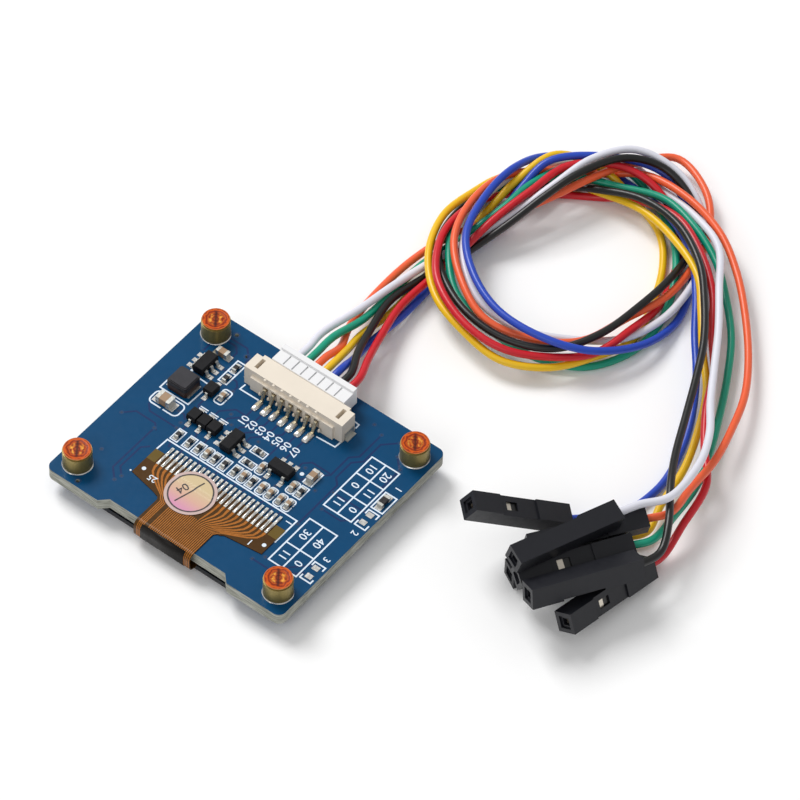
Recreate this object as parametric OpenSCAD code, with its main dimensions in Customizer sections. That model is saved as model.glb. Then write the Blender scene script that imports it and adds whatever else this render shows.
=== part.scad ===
// Small OLED display module: a circuit board with its display glued to the underside, a folded flex
// cable, side-entry header and plug, and a seven-wire lead with single-way sockets.
// Frame: origin at the bottom centre of the module, which lies display down; +X runs along the flex
// edge, +Y from the flex edge to the header edge, +Z out of the component side. Millimetres.

/* [Board] */
// Length of the board along X
board_l = 34.4; // [34:0.1:38]
// Width of the board along Y
board_w = 30.5; // [30.2:0.1:34]
// Thickness of the board
board_t = 1.6; // [1.2:0.1:2]
// Corner radius of the board
board_corner_r = 1; // [0.6:0.1:2.5]
// Length of the flex notch at the board's edge
notch_l = 17.8; // [16:0.1:22]
// Depth of the flex notch
notch_d = 1; // [0.6:0.1:1.2]

/* [Display] */
// Length of the display glass along X
glass_l = 32.4; // [30:0.1:33]
// Length of the display glass along Y
glass_w = 28.2; // [26:0.1:28.5]
// Gap from the board's notched edge in to the glass edge
glass_inset = 0.35; // [0.2:0.05:0.8]
// Thickness of the display glass
glass_t = 0.7; // [0.5:0.1:1]
// Thickness of the cover glass behind it
cover_t = 0.5; // [0.4:0.1:0.8]
// Width of the glass ledge that carries the flex cable
ledge_w = 2.2; // [1.5:0.1:3]
// Thickness of the polariser film
polariser_t = 0.2; // [0.1:0.05:0.3]
// Margin from the glass edge to the polariser
polariser_inset = 0.6; // [0.3:0.1:1.5]
// Thickness of the foam pad between display and board
foam_t = 0.5; // [0.3:0.1:0.8]
// Margin from the cover glass edge to the foam pad
foam_inset = 1.2; // [0.5:0.1:2]

/* [Flex cable] */
// Thickness of the flex cable
flex_t = 0.12; // [0.08:0.01:0.2]
// Width of the flex neck
flex_neck_w = 8.2; // [6:0.1:10]
// Width of the flex head across the finger row
flex_head_l = 19; // [18:0.1:20]
// X of the middle of the flex head
flex_head_x = 0.45; // [0:0.05:0.8]
// Y of the flex head's far edge
flex_head_y = -5.3; // [-5.6:0.1:-5]
// Depth of the flex head along Y
flex_head_d = 4.3; // [4:0.1:4.8]
// Corner radius of the flex outline
flex_corner_r = 0.6; // [0.3:0.1:0.9]
// Number of flex fingers
finger_count = 25; // [15:1:26]
// Pitch of the flex fingers
finger_pitch = 0.66; // [0.6:0.01:0.68]
// Width of one finger
finger_w = 0.34; // [0.25:0.01:0.4]
// Length of one finger on the flex
finger_l = 1.7; // [1.2:0.1:2]
// Length of the board pad beyond the flex edge
finger_pad_l = 1.25; // [0.8:0.05:1.3]
// Diameter of the round sticker
sticker_d = 6.1; // [5:0.1:6.2]
// Thickness of the sticker and of the black tape
sticker_t = 0.1; // [0.06:0.01:0.15]
// Width of the black tape on the fold
fold_tape_w = 6; // [5:0.1:7]

/* [Standoffs] */
// Distance of the standoffs from the board's ends
standoff_inset_x = 2.5; // [2.3:0.1:3]
// Distance of the standoffs from the board's long edges
standoff_inset_y = 2.75; // [2.5:0.05:3.2]
// Outer diameter of a standoff
standoff_d = 3.5; // [3:0.1:3.8]
// Height of a standoff above the board
standoff_h = 2.5; // [2:0.1:3]
// Bore diameter of a standoff's thread
standoff_bore_d = 1.6; // [1.4:0.1:1.8]
// Diameter of the standoff's spigot in the board
spigot_d = 2.4; // [2.2:0.1:2.6]
// Length of the spigot
spigot_l = 1; // [0.6:0.1:1.1]
// Clearance round the spigot
spigot_gap = 0.05; // [0.02:0.01:0.1]
// Diameter of the pick-up dot
dot_d = 3.3; // [2.6:0.1:3.5]
// Thickness of the pick-up dot
dot_t = 0.08; // [0.05:0.01:0.15]

/* [Header] */
// Number of ways
ways = 7; // [7]
// Pitch of the ways
way_pitch = 1.25; // [1.25]
// X of the middle of the header
header_x = -0.25; // [-0.5:0.05:0]
// Distance of the header's rear wall from the board's connector edge
header_inset = 6.45; // [6.25:0.05:6.65]
// Length of the header between its ends
header_l = 14.4; // [14:0.1:15]
// Depth of the header's roof
header_d = 2.75; // [2.6:0.05:3]
// Height of the header
header_h = 3; // [2.9:0.1:3.4]
// Wall thickness of the header
header_wall = 0.55; // [0.4:0.05:0.6]
// Width of the cavity that takes the plug's nose
cavity_l = 10.2; // [10:0.1:10.6]
// Side of a header pin
pin_w = 0.32; // [0.26:0.02:0.36]

/* [Plug] */
// Width of the plug
plug_l = 10.6; // [10.2:0.1:11]
// Distance of the plug's rear face from the board's connector edge
plug_inset = 1.25; // [1.05:0.05:1.45]
// Height of the plug's back block
plug_h = 2.3; // [2.2:0.1:2.4]
// Height of the plug's rear ridge above the block
ridge_h = 0.35; // [0.2:0.05:0.5]
// Depth of the rear ridge
ridge_d = 0.7; // [0.5:0.1:1]
// Clearance between the plug's nose and the cavity
nose_gap = 0.05; // [0.03:0.01:0.1]
// Width of the grooves on the plug
groove_w = 0.2; // [0.15:0.05:0.3]

/* [Chips] */
// Side of the inductor
inductor_w = 2.9; // [2.6:0.1:3]
// Height of the inductor
inductor_h = 1.5; // [1.2:0.1:1.8]
// Body length of the small packages
package_l = 2.9; // [2.7:0.1:3]
// Body width of the small packages
package_w = 1.6; // [1.5:0.1:1.7]
// Body height of the small packages
package_h = 1.1; // [0.9:0.1:1.3]
// Lead pitch of the small packages
lead_pitch = 0.95; // [0.95]
// Width of a package lead
lead_w = 0.38; // [0.3:0.02:0.44]
// Thickness of a package lead
lead_t = 0.15; // [0.1:0.01:0.18]
// Body length of a diode
diode_l = 1.7; // [1.5:0.1:1.8]
// Body width of a diode
diode_w = 1.25; // [1.1:0.05:1.3]
// Height of a diode
diode_h = 0.9; // [0.7:0.1:1]
// Thickness of the solder under each terminal
solder_t = 0.06; // [0.04:0.01:0.1]

/* [Lead] */
// Diameter of a wire
wire_d = 0.95; // [0.8:0.05:1]
// Side of a socket shell
shell_w = 2.54; // [2.5:0.01:2.54]
// Length of a socket shell
shell_l = 14; // [13.5:0.1:14]
// Side of the cavity in a socket shell
shell_cavity_w = 1.7; // [1.5:0.05:1.8]
// Side of the pin hole in a socket shell's front
shell_hole_w = 0.9; // [0.8:0.05:1]
// Thickness of a socket shell's front wall
shell_front_t = 0.8; // [0.6:0.1:1]
// Depth that a wire reaches into its shell
wire_grip = 3; // [2:0.5:4]
// Clearance round the contact in its shell
contact_gap = 0.05; // [0.03:0.01:0.1]

/* [Hidden] */
$fn = 48;
eps = 0.01;

// heights of the stack, from the polariser's face up
glass_z = polariser_t;
cover_z = glass_z + glass_t;
foam_z = cover_z + cover_t;
board_z = foam_z + foam_t;
top_z = board_z + board_t;

// edges along Y
board_edge = -board_w / 2;
notch_y = board_edge + notch_d;
glass_y = notch_y + glass_inset;
cover_y = glass_y + ledge_w;
cover_w = glass_w - ledge_w;

// standoff pattern
standoff_sx = board_l - 2 * standoff_inset_x;
standoff_sy = board_w - 2 * standoff_inset_y;

// flex cable: neck, head and the fold round the notch
flex_neck_x = header_x + 0.13;
flex_head_x0 = flex_head_x - flex_head_l / 2;
flex_head_x1 = flex_head_x + flex_head_l / 2;
flex_foot_y = flex_head_y - flex_head_d;
flex_shoulder_y = flex_foot_y - 0.9;
fold_top = top_z + flex_t;
fold_r = min(notch_d, (fold_top - cover_z) / 2 - 0.05) - sticker_t;
fold_cy = board_edge + sticker_t + fold_r;
flex_end_y = cover_y - 0.3;
fold_tongue = 0.3;
finger_x0 = flex_head_x - (finger_count - 1) / 2 * finger_pitch + 0.02;
finger_rise = 0.08;

// header and plug
header_y = board_w / 2 - header_inset;
plug_back_y = board_w / 2 - plug_inset;
way_x0 = header_x - (ways - 1) / 2 * way_pitch;
header_front_y = header_y + header_d;
header_lip = 0.35;
header_mouth_x = 6.35;
header_end_x = header_l / 2;
cavity_back_y = header_y + 0.8;
cavity_z0 = top_z + header_wall;
cavity_h = header_h - 2 * header_wall;
pin_z = cavity_z0 + cavity_h / 2;
pin_fit = 0.02;
pin_tip_y = header_front_y - 0.6;
foot_y = header_y - 2.1;
nose_z0 = cavity_z0 + nose_gap;
nose_h = cavity_h - 2 * nose_gap;
plug_z0 = top_z + 0.9;
plug_top = plug_z0 + plug_h;
wire_z = 5.35;
wire_exit = 2.5;
terminal_w = 0.84;
terminal_z0 = pin_z - 0.4;
terminal_h = 1.2;
terminal_front_y = cavity_back_y + 0.4;
terminal_back_y = plug_back_y - 1;
terminal_bore = pin_w + 0.14;

// packages
package_gap = 0.1;
package_span = package_w + 1.2;
diode_span = diode_l + 0.8;

// chip sizes: length, width, height
size_0402 = [1, 0.52, 0.36];
size_0402c = [1, 0.54, 0.52];
size_0603 = [1.6, 0.8, 0.48];
size_0603c = [1.6, 0.82, 0.8];
size_0805c = [2, 1.25, 1];

// places on the board: x, y, turn
boost_at = [-12.45, 7.8, 90];
shifter_at = [-2.65, 0.7, 90];
regulator_at = [4.3, 1.05, 0];
inductor_at = [-12.55, 3.95];
row_y = -2.15;
diode_at = [[-9.5, 5.3, 90], [-8.5, 1.05, 90], [-7, 1.05, 90], [-5.55, 1.05, 90]];
resistor_at = [[-9.43, 9.72, 90, size_0402], [-9.38, 7.81, 90, size_0402],
  [-8.34, row_y, 90, size_0402], [-6.61, row_y, 90, size_0402], [-5.25, row_y, 90, size_0402],
  [-2.81, row_y, 90, size_0402], [-1.45, row_y, 90, size_0402], [0.09, row_y, 90, size_0402],
  [2.6, row_y, 90, size_0402], [0.47, 1.71, 0, size_0402], [0.5, -0.34, 0, size_0402],
  [7.86, 0.17, 90, size_0402], [16.1, 4.9, 90, size_0603]];
capacitor_at = [[-11.93, 10.4, 0, size_0603c], [-12.6, 0.7, 0, size_0805c],
  [-7.94, 5.5, 90, size_0402c], [-3.98, row_y, 90, size_0402c], [1.34, row_y, 90, size_0402c],
  [4.04, row_y, 90, size_0402c], [5.29, row_y, 90, size_0402c], [6.72, row_y, 90, size_0402c],
  [7.89, row_y, 90, size_0402c], [2.21, 0.1, 90, size_0402c], [6.69, 0.16, 90, size_0402c],
  [7.65, 2.62, 90, size_0603c]];
bare_pad_at = [[16.02, 2.51], [16.03, 1.21], [15.97, -7.29], [16.07, -8.67]];
via_at = [[-13, -14.5], [-12.6, 13.8], [-9.6, 12]];

// sockets of the lead: middle of the front face, then yaw, pitch and roll
colours = ["white", "green", "orange", "yellow", "blue", "black", "red"];
shell_at = [[34.6, 4.6, 8.4, -20, -3.7, -75.5], [34.8, 5.2, 4.6, -31.5, -0.6, 28],
  [33.1, 9.6, 4.3, -36, 2.5, 21.4], [32.4, 7.2, 1.3, -29.5, 0, 0],
  [26.2, 7.3, 8.8, -33, -31, 14.5], [38.2, 2.6, 6.8, -28, -5.7, 158.5],
  [42.5, 4, 3.8, -7, -8.5, 61]];
window_y = 4.7;
window_l = 1.6;
latch_y = 3.9;
latch_l = 5.2;
contact_w = shell_cavity_w - 2 * contact_gap;

// routes of the wires between plug and shells: x, y, z
route_white = [
    [-4.5, 20, 4.6], [-4, 26, 3.4], [-3.5, 32, 2.7], [-2.5, 38, 2.3], [-1, 43.5, 2.4], [1, 49.5, 3.3],
    [2.5, 55, 4.5], [4, 61, 5.3], [7, 66, 4.7], [12.5, 67.5, 2.9], [18, 65, 1.3], [21.5, 60.5, 0.9],
    [23.5, 55, 1.8], [24, 48.5, 2], [22, 43, 1.8], [17.5, 39, 2], [12, 36, 2.6], [6, 36, 3.4],
    [1, 39.5, 4.1], [-2, 44.5, 3.8], [-3.5, 50.5, 3], [-3, 56.5, 1.8], [0.5, 62, 1.7], [5.5, 66, 1.5],
    [11.5, 65, 1.7], [18, 63, 3.1], [23.5, 60, 4.1], [27.5, 54.5, 4.4], [31, 49.5, 4.3],
    [34, 44.5, 4.5], [37, 39.5, 5], [40, 35, 5.6], [42, 30, 6.4], [42.5, 24, 7], [40.5, 20.5, 7.3]];
route_green = [
    [-3, 20, 4.8], [-3, 25.5, 2.8], [-3.5, 31.5, 1.6], [-3.5, 37.5, 1.5], [-2, 43.5, 2.2],
    [-0.5, 49, 3.5], [0, 54.5, 3.7], [1.5, 61, 2.4], [6.5, 65, 1.3], [12, 63.5, 0.6], [17, 60, 1.5],
    [21, 55, 1.6], [23.5, 49, 1], [23.5, 43, 0.6], [20.5, 37.5, 0.6], [15, 34.5, 1.3], [9, 34, 2.3],
    [3, 35.5, 3.1], [-1.5, 40, 3.6], [-4, 45, 2.4], [-4.5, 50.5, 1.5], [-2, 55.5, 1.5],
    [2.5, 59.5, 2.2], [8, 61.5, 2.6], [13.5, 63, 3], [19, 61.5, 3.2], [24, 59, 2.7], [28.5, 55, 2.1],
    [32, 51, 1.8], [35, 46, 1.5], [37.5, 41, 1.4], [40, 35.5, 1.7], [42, 30, 2.4], [43, 24, 3.5],
    [43.5, 19.5, 4.4]];
route_orange = [
    [-2, 20, 3.7], [-4, 24.5, 2.2], [-5, 31, 1.5], [-5, 37.5, 1.2], [-3.5, 43, 1.7], [-0.5, 48.5, 2.2],
    [2.5, 54, 3], [5, 60, 3.5], [7, 65.5, 2.7], [10.5, 70, 2.1], [16.5, 67.5, 2.3], [20.5, 62.5, 2],
    [22, 57, 2], [22.5, 51, 2.5], [21, 45, 2.9], [19, 39, 2.9], [14.5, 35.5, 3], [8.5, 34, 3.6],
    [3, 36.5, 4.4], [-1.5, 41, 4.7], [-3.5, 47, 4.5], [-3.5, 53.5, 3.4], [-0.5, 59, 1.8],
    [4, 62.5, 1.3], [9.5, 65, 2.7], [16, 64.5, 3.5], [22, 62.5, 3.4], [27, 59, 2.9], [31.5, 54.5, 2.4],
    [35.5, 49.5, 2.2], [38.5, 44.5, 2.4], [40.5, 39, 3], [42, 33.5, 3.8], [42.5, 28, 4.5],
    [43, 23.5, 5]];
route_yellow = [
    [-1, 20, 3.9], [-2, 24, 2.2], [-2, 30, 1], [-2.5, 36.5, 0.6], [-3, 43, 0.6], [-2.5, 48.5, 1.7],
    [-2, 54.5, 3.2], [-0.5, 60, 3.8], [4.5, 62.5, 2.6], [10, 62, 0.9], [15, 60, 0.7], [18.5, 56, 0.6],
    [21, 50.5, 0.6], [22.5, 44.5, 0.6], [21, 39, 1.5], [18, 34, 1.9], [13, 31, 2.3], [7, 31.5, 2.8],
    [1.5, 33.5, 3.2], [-3, 38, 3.3], [-5.5, 44, 3], [-5.5, 50, 2.1], [-4.5, 55.5, 0.9], [0.5, 59, 0.8],
    [6.5, 60, 1.7], [12.5, 60, 2.8], [18.5, 58, 3.7], [24, 55, 4], [27.5, 51, 3.5], [31, 46.5, 3],
    [34.5, 42.5, 2.3], [37, 37.5, 1.9], [39, 32, 1.6], [40, 26, 1.4], [41, 22, 1.3]];
route_blue = [
    [0, 20, 3], [-0.5, 24, 2.1], [-0.5, 30, 1.3], [-1, 36.5, 0.6], [-1, 42.5, 0.6], [-1, 48.5, 1.2],
    [-1, 53.5, 2.9], [0, 58.5, 4.5], [5, 63.5, 4.2], [10.5, 66.5, 2.8], [15.5, 65, 1.3],
    [19.5, 61, 0.7], [23, 55.5, 0.5], [25, 49.5, 0.8], [24.5, 43, 2.4], [21, 37.5, 4], [15.5, 35, 4.9],
    [9.5, 35, 5.1], [4, 37.5, 5.3], [-0.5, 42, 5.3], [-2.5, 48.5, 5], [-3, 55, 4.1], [-2, 61, 1.6],
    [3, 64, 0.5], [9.5, 63.5, 1.1], [15.5, 61.5, 2.3], [21, 58, 3.1], [25, 53.5, 2.7],
    [28.5, 48.5, 2.2], [32, 44, 1.6], [35, 39, 1.1], [37, 34, 0.8], [38, 28.5, 0.6], [37, 22.5, 0.7],
    [34, 19.5, 0.6]];
route_black = [
    [0.5, 20, 4.5], [-1, 24, 3.3], [-2.5, 30, 2.4], [-2, 36, 1.6], [-0.5, 42, 1.7], [1.5, 47.5, 3.4],
    [3, 53, 4.9], [4.5, 58.5, 5.6], [7, 64, 5], [11.5, 66.5, 3.6], [17, 64.5, 2.3], [20, 59.5, 1.8],
    [21.5, 53.5, 3.2], [21.5, 47, 3.8], [20.5, 40.5, 3.9], [17.5, 35.5, 3.6], [12, 33, 3.6],
    [5.5, 33.5, 3.8], [-0.5, 37, 3.6], [-4, 42, 2.7], [-5.5, 49, 1], [-4, 54, 0.6], [0, 57.5, 0.8],
    [6, 59.5, 2.5], [12, 60.5, 4.1], [18, 59.5, 4.6], [23.5, 56, 4.9], [27.5, 51.5, 4.9],
    [31, 46.5, 4.8], [33.5, 41.5, 4.7], [36, 36, 4.9], [38.5, 30.5, 5.3], [41, 26, 6], [44, 21.5, 5.9],
    [45.5, 18, 5.2]];
route_red = [
    [2, 20, 4.3], [0.5, 24, 3.1], [-1, 30, 2.5], [-1, 36, 2.2], [-0.5, 41.5, 2.9], [0, 47, 3.9],
    [1, 53, 4.5], [2, 59, 4.4], [6.5, 63, 4.1], [11.5, 64, 2.7], [17, 61.5, 1.1], [20, 56.5, 0.5],
    [22, 50.5, 1], [22.5, 44, 3], [21, 38, 2.8], [16, 33.5, 3], [11.5, 31.5, 3.6], [6, 32, 4.1],
    [0.5, 35, 4.5], [-3, 40.5, 4.2], [-4, 46.5, 3.1], [-3, 52, 1.6], [1, 56.5, 0.7], [6, 60, 0.6],
    [11, 61.5, 2.2], [17, 61, 3.7], [22.5, 58, 3.8], [27, 54, 3.6], [30.5, 49, 3.4], [34, 44.5, 3.2],
    [36.5, 39.5, 3.3], [39.5, 35, 3.1], [43, 30.5, 2.9], [44, 24.5, 2.2], [44.5, 20.5, 1.4]];
routes = [route_white, route_green, route_orange, route_yellow, route_blue, route_black, route_red];
wire_sides = 8;
wire_steps = 2;

// a rectangle with round corners, about the middle
module rounded_rect(l, w, r) {
  square([l - 2 * r, w], center = true);
  square([l, w - 2 * r], center = true);
  for (sx = [-1, 1], sy = [-1, 1])
    translate([sx * (l / 2 - r), sy * (w / 2 - r)]) circle(r);
}

module slab(x, y, l, w, z, h, r = 0.3) {
  translate([x, y, z]) linear_extrude(h) rounded_rect(l, w, r);
}

// the board with its flex notch, spigot holes and vias
module circuit_board() {
  color("#1f5a86")
    difference() {
      translate([0, 0, board_z]) linear_extrude(board_t) difference() {
        rounded_rect(board_l, board_w, board_corner_r);
        polygon([[-notch_l / 2 - 0.55, board_edge - 1], [-notch_l / 2 - 0.55, board_edge],
          [-notch_l / 2 + notch_d - 0.55, notch_y], [notch_l / 2 - notch_d + 0.55, notch_y],
          [notch_l / 2 + 0.55, board_edge], [notch_l / 2 + 0.55, board_edge - 1]]);
      }
      for (k = [0:3]) at_standoff(k)
        translate([0, 0, board_z - 1]) cylinder(d = spigot_d + 2 * spigot_gap, h = board_t + 2);
      for (v = via_at) translate([v[0], v[1], board_z - 1]) cylinder(d = 0.5, h = board_t + 2);
    }
}

module at_standoff(k) {
  translate([(k % 2 == 0 ? -1 : 1) * standoff_sx / 2, (k < 2 ? -1 : 1) * standoff_sy / 2, 0])
    children();
}

module display_glass() {
  color("#20242a") slab(0, glass_y + glass_w / 2, glass_l, glass_w, glass_z, glass_t, 0.15);
}

module cover_glass() {
  color("#30363d") slab(0, cover_y + cover_w / 2, glass_l, cover_w, cover_z, cover_t, 0.15);
}

module polariser() {
  color("#0c0e12")
    slab(0, glass_y + glass_w / 2, glass_l - 2 * polariser_inset, glass_w - 2 * polariser_inset,
      0, polariser_t, 0.2);
}

module foam_pad() {
  color("#3a3a3a")
    slab(0, cover_y + cover_w / 2, glass_l - 2 * foam_inset, cover_w - 2 * foam_inset,
      foam_z, foam_t, 0.3);
}

// head, shoulders and neck of the flex cable, then its fold and the run on the glass ledge
module flex_outline() {
  nx0 = flex_neck_x - flex_neck_w / 2;
  nx1 = flex_neck_x + flex_neck_w / 2;
  r = flex_corner_r;
  polygon([[flex_head_x0, flex_head_y], [flex_head_x1, flex_head_y], [flex_head_x1, flex_foot_y],
    [nx1 + 1, flex_shoulder_y + 0.3], [nx1 + r, flex_shoulder_y], [nx0 - r, flex_shoulder_y],
    [nx0 - 1, flex_shoulder_y + 0.15], [flex_head_x0, flex_foot_y]]);
  translate([nx0, notch_y]) square([flex_neck_w, flex_shoulder_y - notch_y]);
  for (s = [-1, 1])
    translate([flex_neck_x + s * (flex_neck_w / 2 + r / 2), flex_shoulder_y - r / 2])
      difference() {
        square([r, r], center = true);
        translate([s * r / 2, -r / 2]) circle(r);
      }
}

module fold_band(w, t0, t1, tongue = 0) {
  // a band t0 to t1 inside the fold's outer face, w wide; its tongues lap the flats
  translate([flex_neck_x + w / 2, 0, 0]) rotate([0, -90, 0]) linear_extrude(w) {
    difference() {
      translate([fold_top - fold_r, fold_cy]) circle(fold_r - t0);
      translate([fold_top - fold_r, fold_cy]) circle(fold_r - t1);
      translate([fold_top - fold_r - 5, fold_cy - 5]) square([5, 10]);
      translate([fold_top - fold_r - 5, fold_cy]) square([10, 5]);
    }
    difference() {
      translate([cover_z + fold_r, fold_cy]) circle(fold_r - t0);
      translate([cover_z + fold_r, fold_cy]) circle(fold_r - t1);
      translate([cover_z + fold_r, fold_cy - 5]) square([5, 10]);
      translate([cover_z - 5, fold_cy]) square([10, 5]);
    }
    translate([cover_z + fold_r, fold_cy - fold_r + t0])
      square([fold_top - cover_z - 2 * fold_r, t1 - t0]);
    if (tongue > 0) {
      translate([fold_top - t1, fold_cy]) square([t1 - t0, tongue]);
      translate([cover_z + t0, fold_cy]) square([t1 - t0, tongue]);
    }
  }
}

module flex_cable() {
  color("#9a6a32") {
    translate([0, 0, top_z]) linear_extrude(flex_t) flex_outline();
    fold_band(flex_neck_w, 0, flex_t, fold_tongue);
    translate([flex_neck_x - flex_neck_w / 2, fold_cy, cover_z])
      cube([flex_neck_w, flex_end_y - fold_cy, flex_t]);
  }
}

// solder fingers from the flex onto the board pads
module flex_fingers() {
  color("#d8d6cf")
    for (k = [0:finger_count - 1])
      translate([finger_x0 + k * finger_pitch - finger_w / 2, 0, 0]) {
        translate([0, flex_head_y, top_z]) cube([finger_w, finger_pad_l, flex_t + finger_rise]);
        translate([0, flex_head_y - finger_l, fold_top]) cube([finger_w, finger_l, finger_rise]);
      }
}

// black tape wrapped round the outside of the neck's fold
module fold_tape() {
  color("#1a1a1c") translate([-0.15, 0, 0]) fold_band(fold_tape_w, -sticker_t, 0);
}

module sticker() {
  color("#e8d0c0")
    translate([-1.67, flex_head_y - 2.8, fold_top]) cylinder(d = sticker_d, h = sticker_t);
}

// threaded standoff with a spigot in the board
module standoff(k) {
  color("#8f8558")
    at_standoff(k)
      difference() {
        union() {
          translate([0, 0, top_z]) cylinder(d = standoff_d, h = standoff_h - 0.2);
          translate([0, 0, top_z + standoff_h - 0.2]) cylinder(d = standoff_d - 0.24, h = 0.2);
          translate([0, 0, top_z - spigot_l]) cylinder(d = spigot_d, h = spigot_l);
        }
        translate([0, 0, top_z - spigot_l - 1])
          cylinder(d = standoff_bore_d, h = spigot_l + standoff_h + 2);
      }
}

module pickup_dot(k) {
  color("#c05a1c") at_standoff(k)
    translate([0, 0, top_z + standoff_h]) cylinder(d = dot_d, h = dot_t);
}

module at_ways() {
  for (k = [0:ways - 1]) translate([way_x0 + k * way_pitch, 0, 0]) children();
}

// side-entry header: shroud, ears, latch slots and the row of pin holes
module header_housing() {
  color("#e6ddca")
    difference() {
      union() {
        translate([header_x - header_mouth_x, header_y, top_z])
          cube([2 * header_mouth_x, header_d, header_h]);
        translate([header_x - header_end_x, header_y, top_z])
          cube([header_l, header_d - header_lip, header_h]);
        translate([header_x - header_mouth_x + 0.3, header_y - 0.35, top_z])
          cube([2 * header_mouth_x - 0.6, 0.36, header_h - 0.9]);
        translate([header_x - 5.25, header_front_y, top_z]) cylinder(d = 0.9, h = header_wall - 0.05);
      }
      translate([header_x - cavity_l / 2, cavity_back_y, cavity_z0])
        cube([cavity_l, header_d, cavity_h]);
      for (s = [-1, 1])
        translate([header_x + s * 5.95 - 0.26, header_y + 0.6, top_z + 1.4])
          cube([0.52, header_d - 1.2, header_h]);
      at_ways() {
        translate([-pin_w / 2 - pin_fit, header_y - 1, pin_z - pin_w / 2 - pin_fit])
          cube([pin_w + 2 * pin_fit, 3, pin_w + 2 * pin_fit]);
        translate([-0.4, header_y - 1, top_z - 1]) cube([0.8, 1.1, pin_z - top_z + 1.35]);
      }
    }
}

// pins: contact blade, bend down behind the header and solder foot
module header_pins() {
  color("#d9b25a")
    at_ways()
      translate([pin_w / 2, 0, 0]) rotate([0, -90, 0]) linear_extrude(pin_w)
        polygon([[pin_z - pin_w / 2, pin_tip_y], [pin_z + pin_w / 2, pin_tip_y],
          [pin_z + pin_w / 2, header_y - 0.65], [top_z + solder_t + 0.3, header_y - 1.15],
          [top_z + solder_t + 0.3, foot_y], [top_z + solder_t, foot_y],
          [top_z + solder_t, header_y - 0.95], [pin_z - pin_w / 2, header_y - 0.42]]);
}

// solder tabs at the header's ends
module header_tabs() {
  color("#cfcabd")
    for (s = [-1, 1])
      translate([header_x + s * (header_end_x + 0.06) - 0.06, header_y + 0.5, top_z])
        union() {
          cube([0.12, 1.6, 1.2]);
          translate([s > 0 ? 0 : -0.38, 0, 0]) cube([0.5, 1.6, 0.12]);
        }
}

// plug: nose in the shroud, block and ridge behind it
module plug_housing() {
  color("#eceae4")
    difference() {
      union() {
        translate([header_x - plug_l / 2, header_front_y, plug_z0])
          cube([plug_l, plug_back_y - header_front_y, plug_h]);
        translate([header_x - plug_l / 2, plug_back_y - ridge_d, plug_z0])
          cube([plug_l, ridge_d, plug_h + ridge_h]);
        translate([header_x - cavity_l / 2 + nose_gap, cavity_back_y + 0.15, nose_z0])
          cube([cavity_l - 2 * nose_gap, header_front_y - cavity_back_y, nose_h]);
      }
      at_ways() {
        translate([-terminal_w / 2 - 0.04, 0, terminal_z0 - 0.04])
          cube([terminal_w + 0.08, terminal_back_y, terminal_h + 0.08]);
        translate([0, terminal_back_y - eps, wire_z]) rotate([-90, 0, 0])
          cylinder(d = wire_d + 0.1, h = 3);
        translate([-groove_w / 2, header_front_y + 0.1, plug_top - 0.35])
          cube([groove_w, plug_back_y - ridge_d - header_front_y - 0.2, 1]);
      }
    }
}

module plug_terminals() {
  color("#cfae62")
    at_ways()
      difference() {
        translate([-terminal_w / 2, terminal_front_y, terminal_z0])
          cube([terminal_w, terminal_back_y - terminal_front_y, terminal_h]);
        translate([-terminal_bore / 2, terminal_front_y - 1, pin_z - terminal_bore / 2])
          cube([terminal_bore, pin_tip_y - terminal_front_y + 1.3, terminal_bore]);
      }
}

module inductor() {
  color("#3c3b3e")
    translate([inductor_at[0], inductor_at[1], top_z + solder_t]) {
      linear_extrude(inductor_h - 0.25) rounded_rect(inductor_w, inductor_w, 0.35);
      linear_extrude(inductor_h - 0.1) rounded_rect(inductor_w - 0.2, inductor_w - 0.2, 0.3);
      linear_extrude(inductor_h) rounded_rect(inductor_w - 0.45, inductor_w - 0.45, 0.3);
    }
}

// small package with sloping long sides; its leads lie along Y
module package_body(at) {
  c = 0.12;
  translate([at[0], at[1], top_z + package_gap]) rotate([0, 0, at[2]])
    translate([-package_l / 2, 0, 0]) rotate([90, 0, 90]) linear_extrude(package_l)
      polygon([[-package_w / 2 + c, 0], [package_w / 2 - c, 0], [package_w / 2, package_h / 2],
        [package_w / 2 - c, package_h], [-package_w / 2 + c, package_h],
        [-package_w / 2, package_h / 2]]);
}

module package_lead(at, along, side) {
  z0 = top_z + solder_t;
  zm = top_z + package_gap + package_h / 2;
  y0 = package_w / 2;
  translate([at[0], at[1], 0]) rotate([0, 0, at[2] + (side < 0 ? 180 : 0)])
    translate([(side < 0 ? -1 : 1) * along - lead_w / 2, 0, 0])
      rotate([90, 0, 90]) linear_extrude(lead_w)
        polygon([[y0, zm - lead_t / 2], [y0, zm + lead_t / 2], [y0 + 0.2, zm + lead_t / 2],
          [y0 + 0.38, z0 + lead_t], [package_span / 2, z0 + lead_t], [package_span / 2, z0],
          [y0 + 0.26, z0], [y0 + 0.1, zm - lead_t / 2]]);
}

module boost_converter() {
  color("#2a2829") package_body(boost_at);
}

module level_shifter() {
  color("#2a2829") package_body(shifter_at);
}

module regulator() {
  color("#2a2829") package_body(regulator_at);
}

module package_leads() {
  color("#c9c6be") {
    for (k = [-1:1], side = [-1, 1]) {
      package_lead(boost_at, k * lead_pitch, side);
      package_lead(shifter_at, k * lead_pitch, side);
    }
    for (k = [-1:1]) package_lead(regulator_at, k * lead_pitch, 1);
    for (k = [-1, 1]) package_lead(regulator_at, k * lead_pitch, -1);
  }
}

module at_place(p) {
  translate([p[0], p[1], top_z]) rotate([0, 0, p[2]]) children();
}

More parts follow.
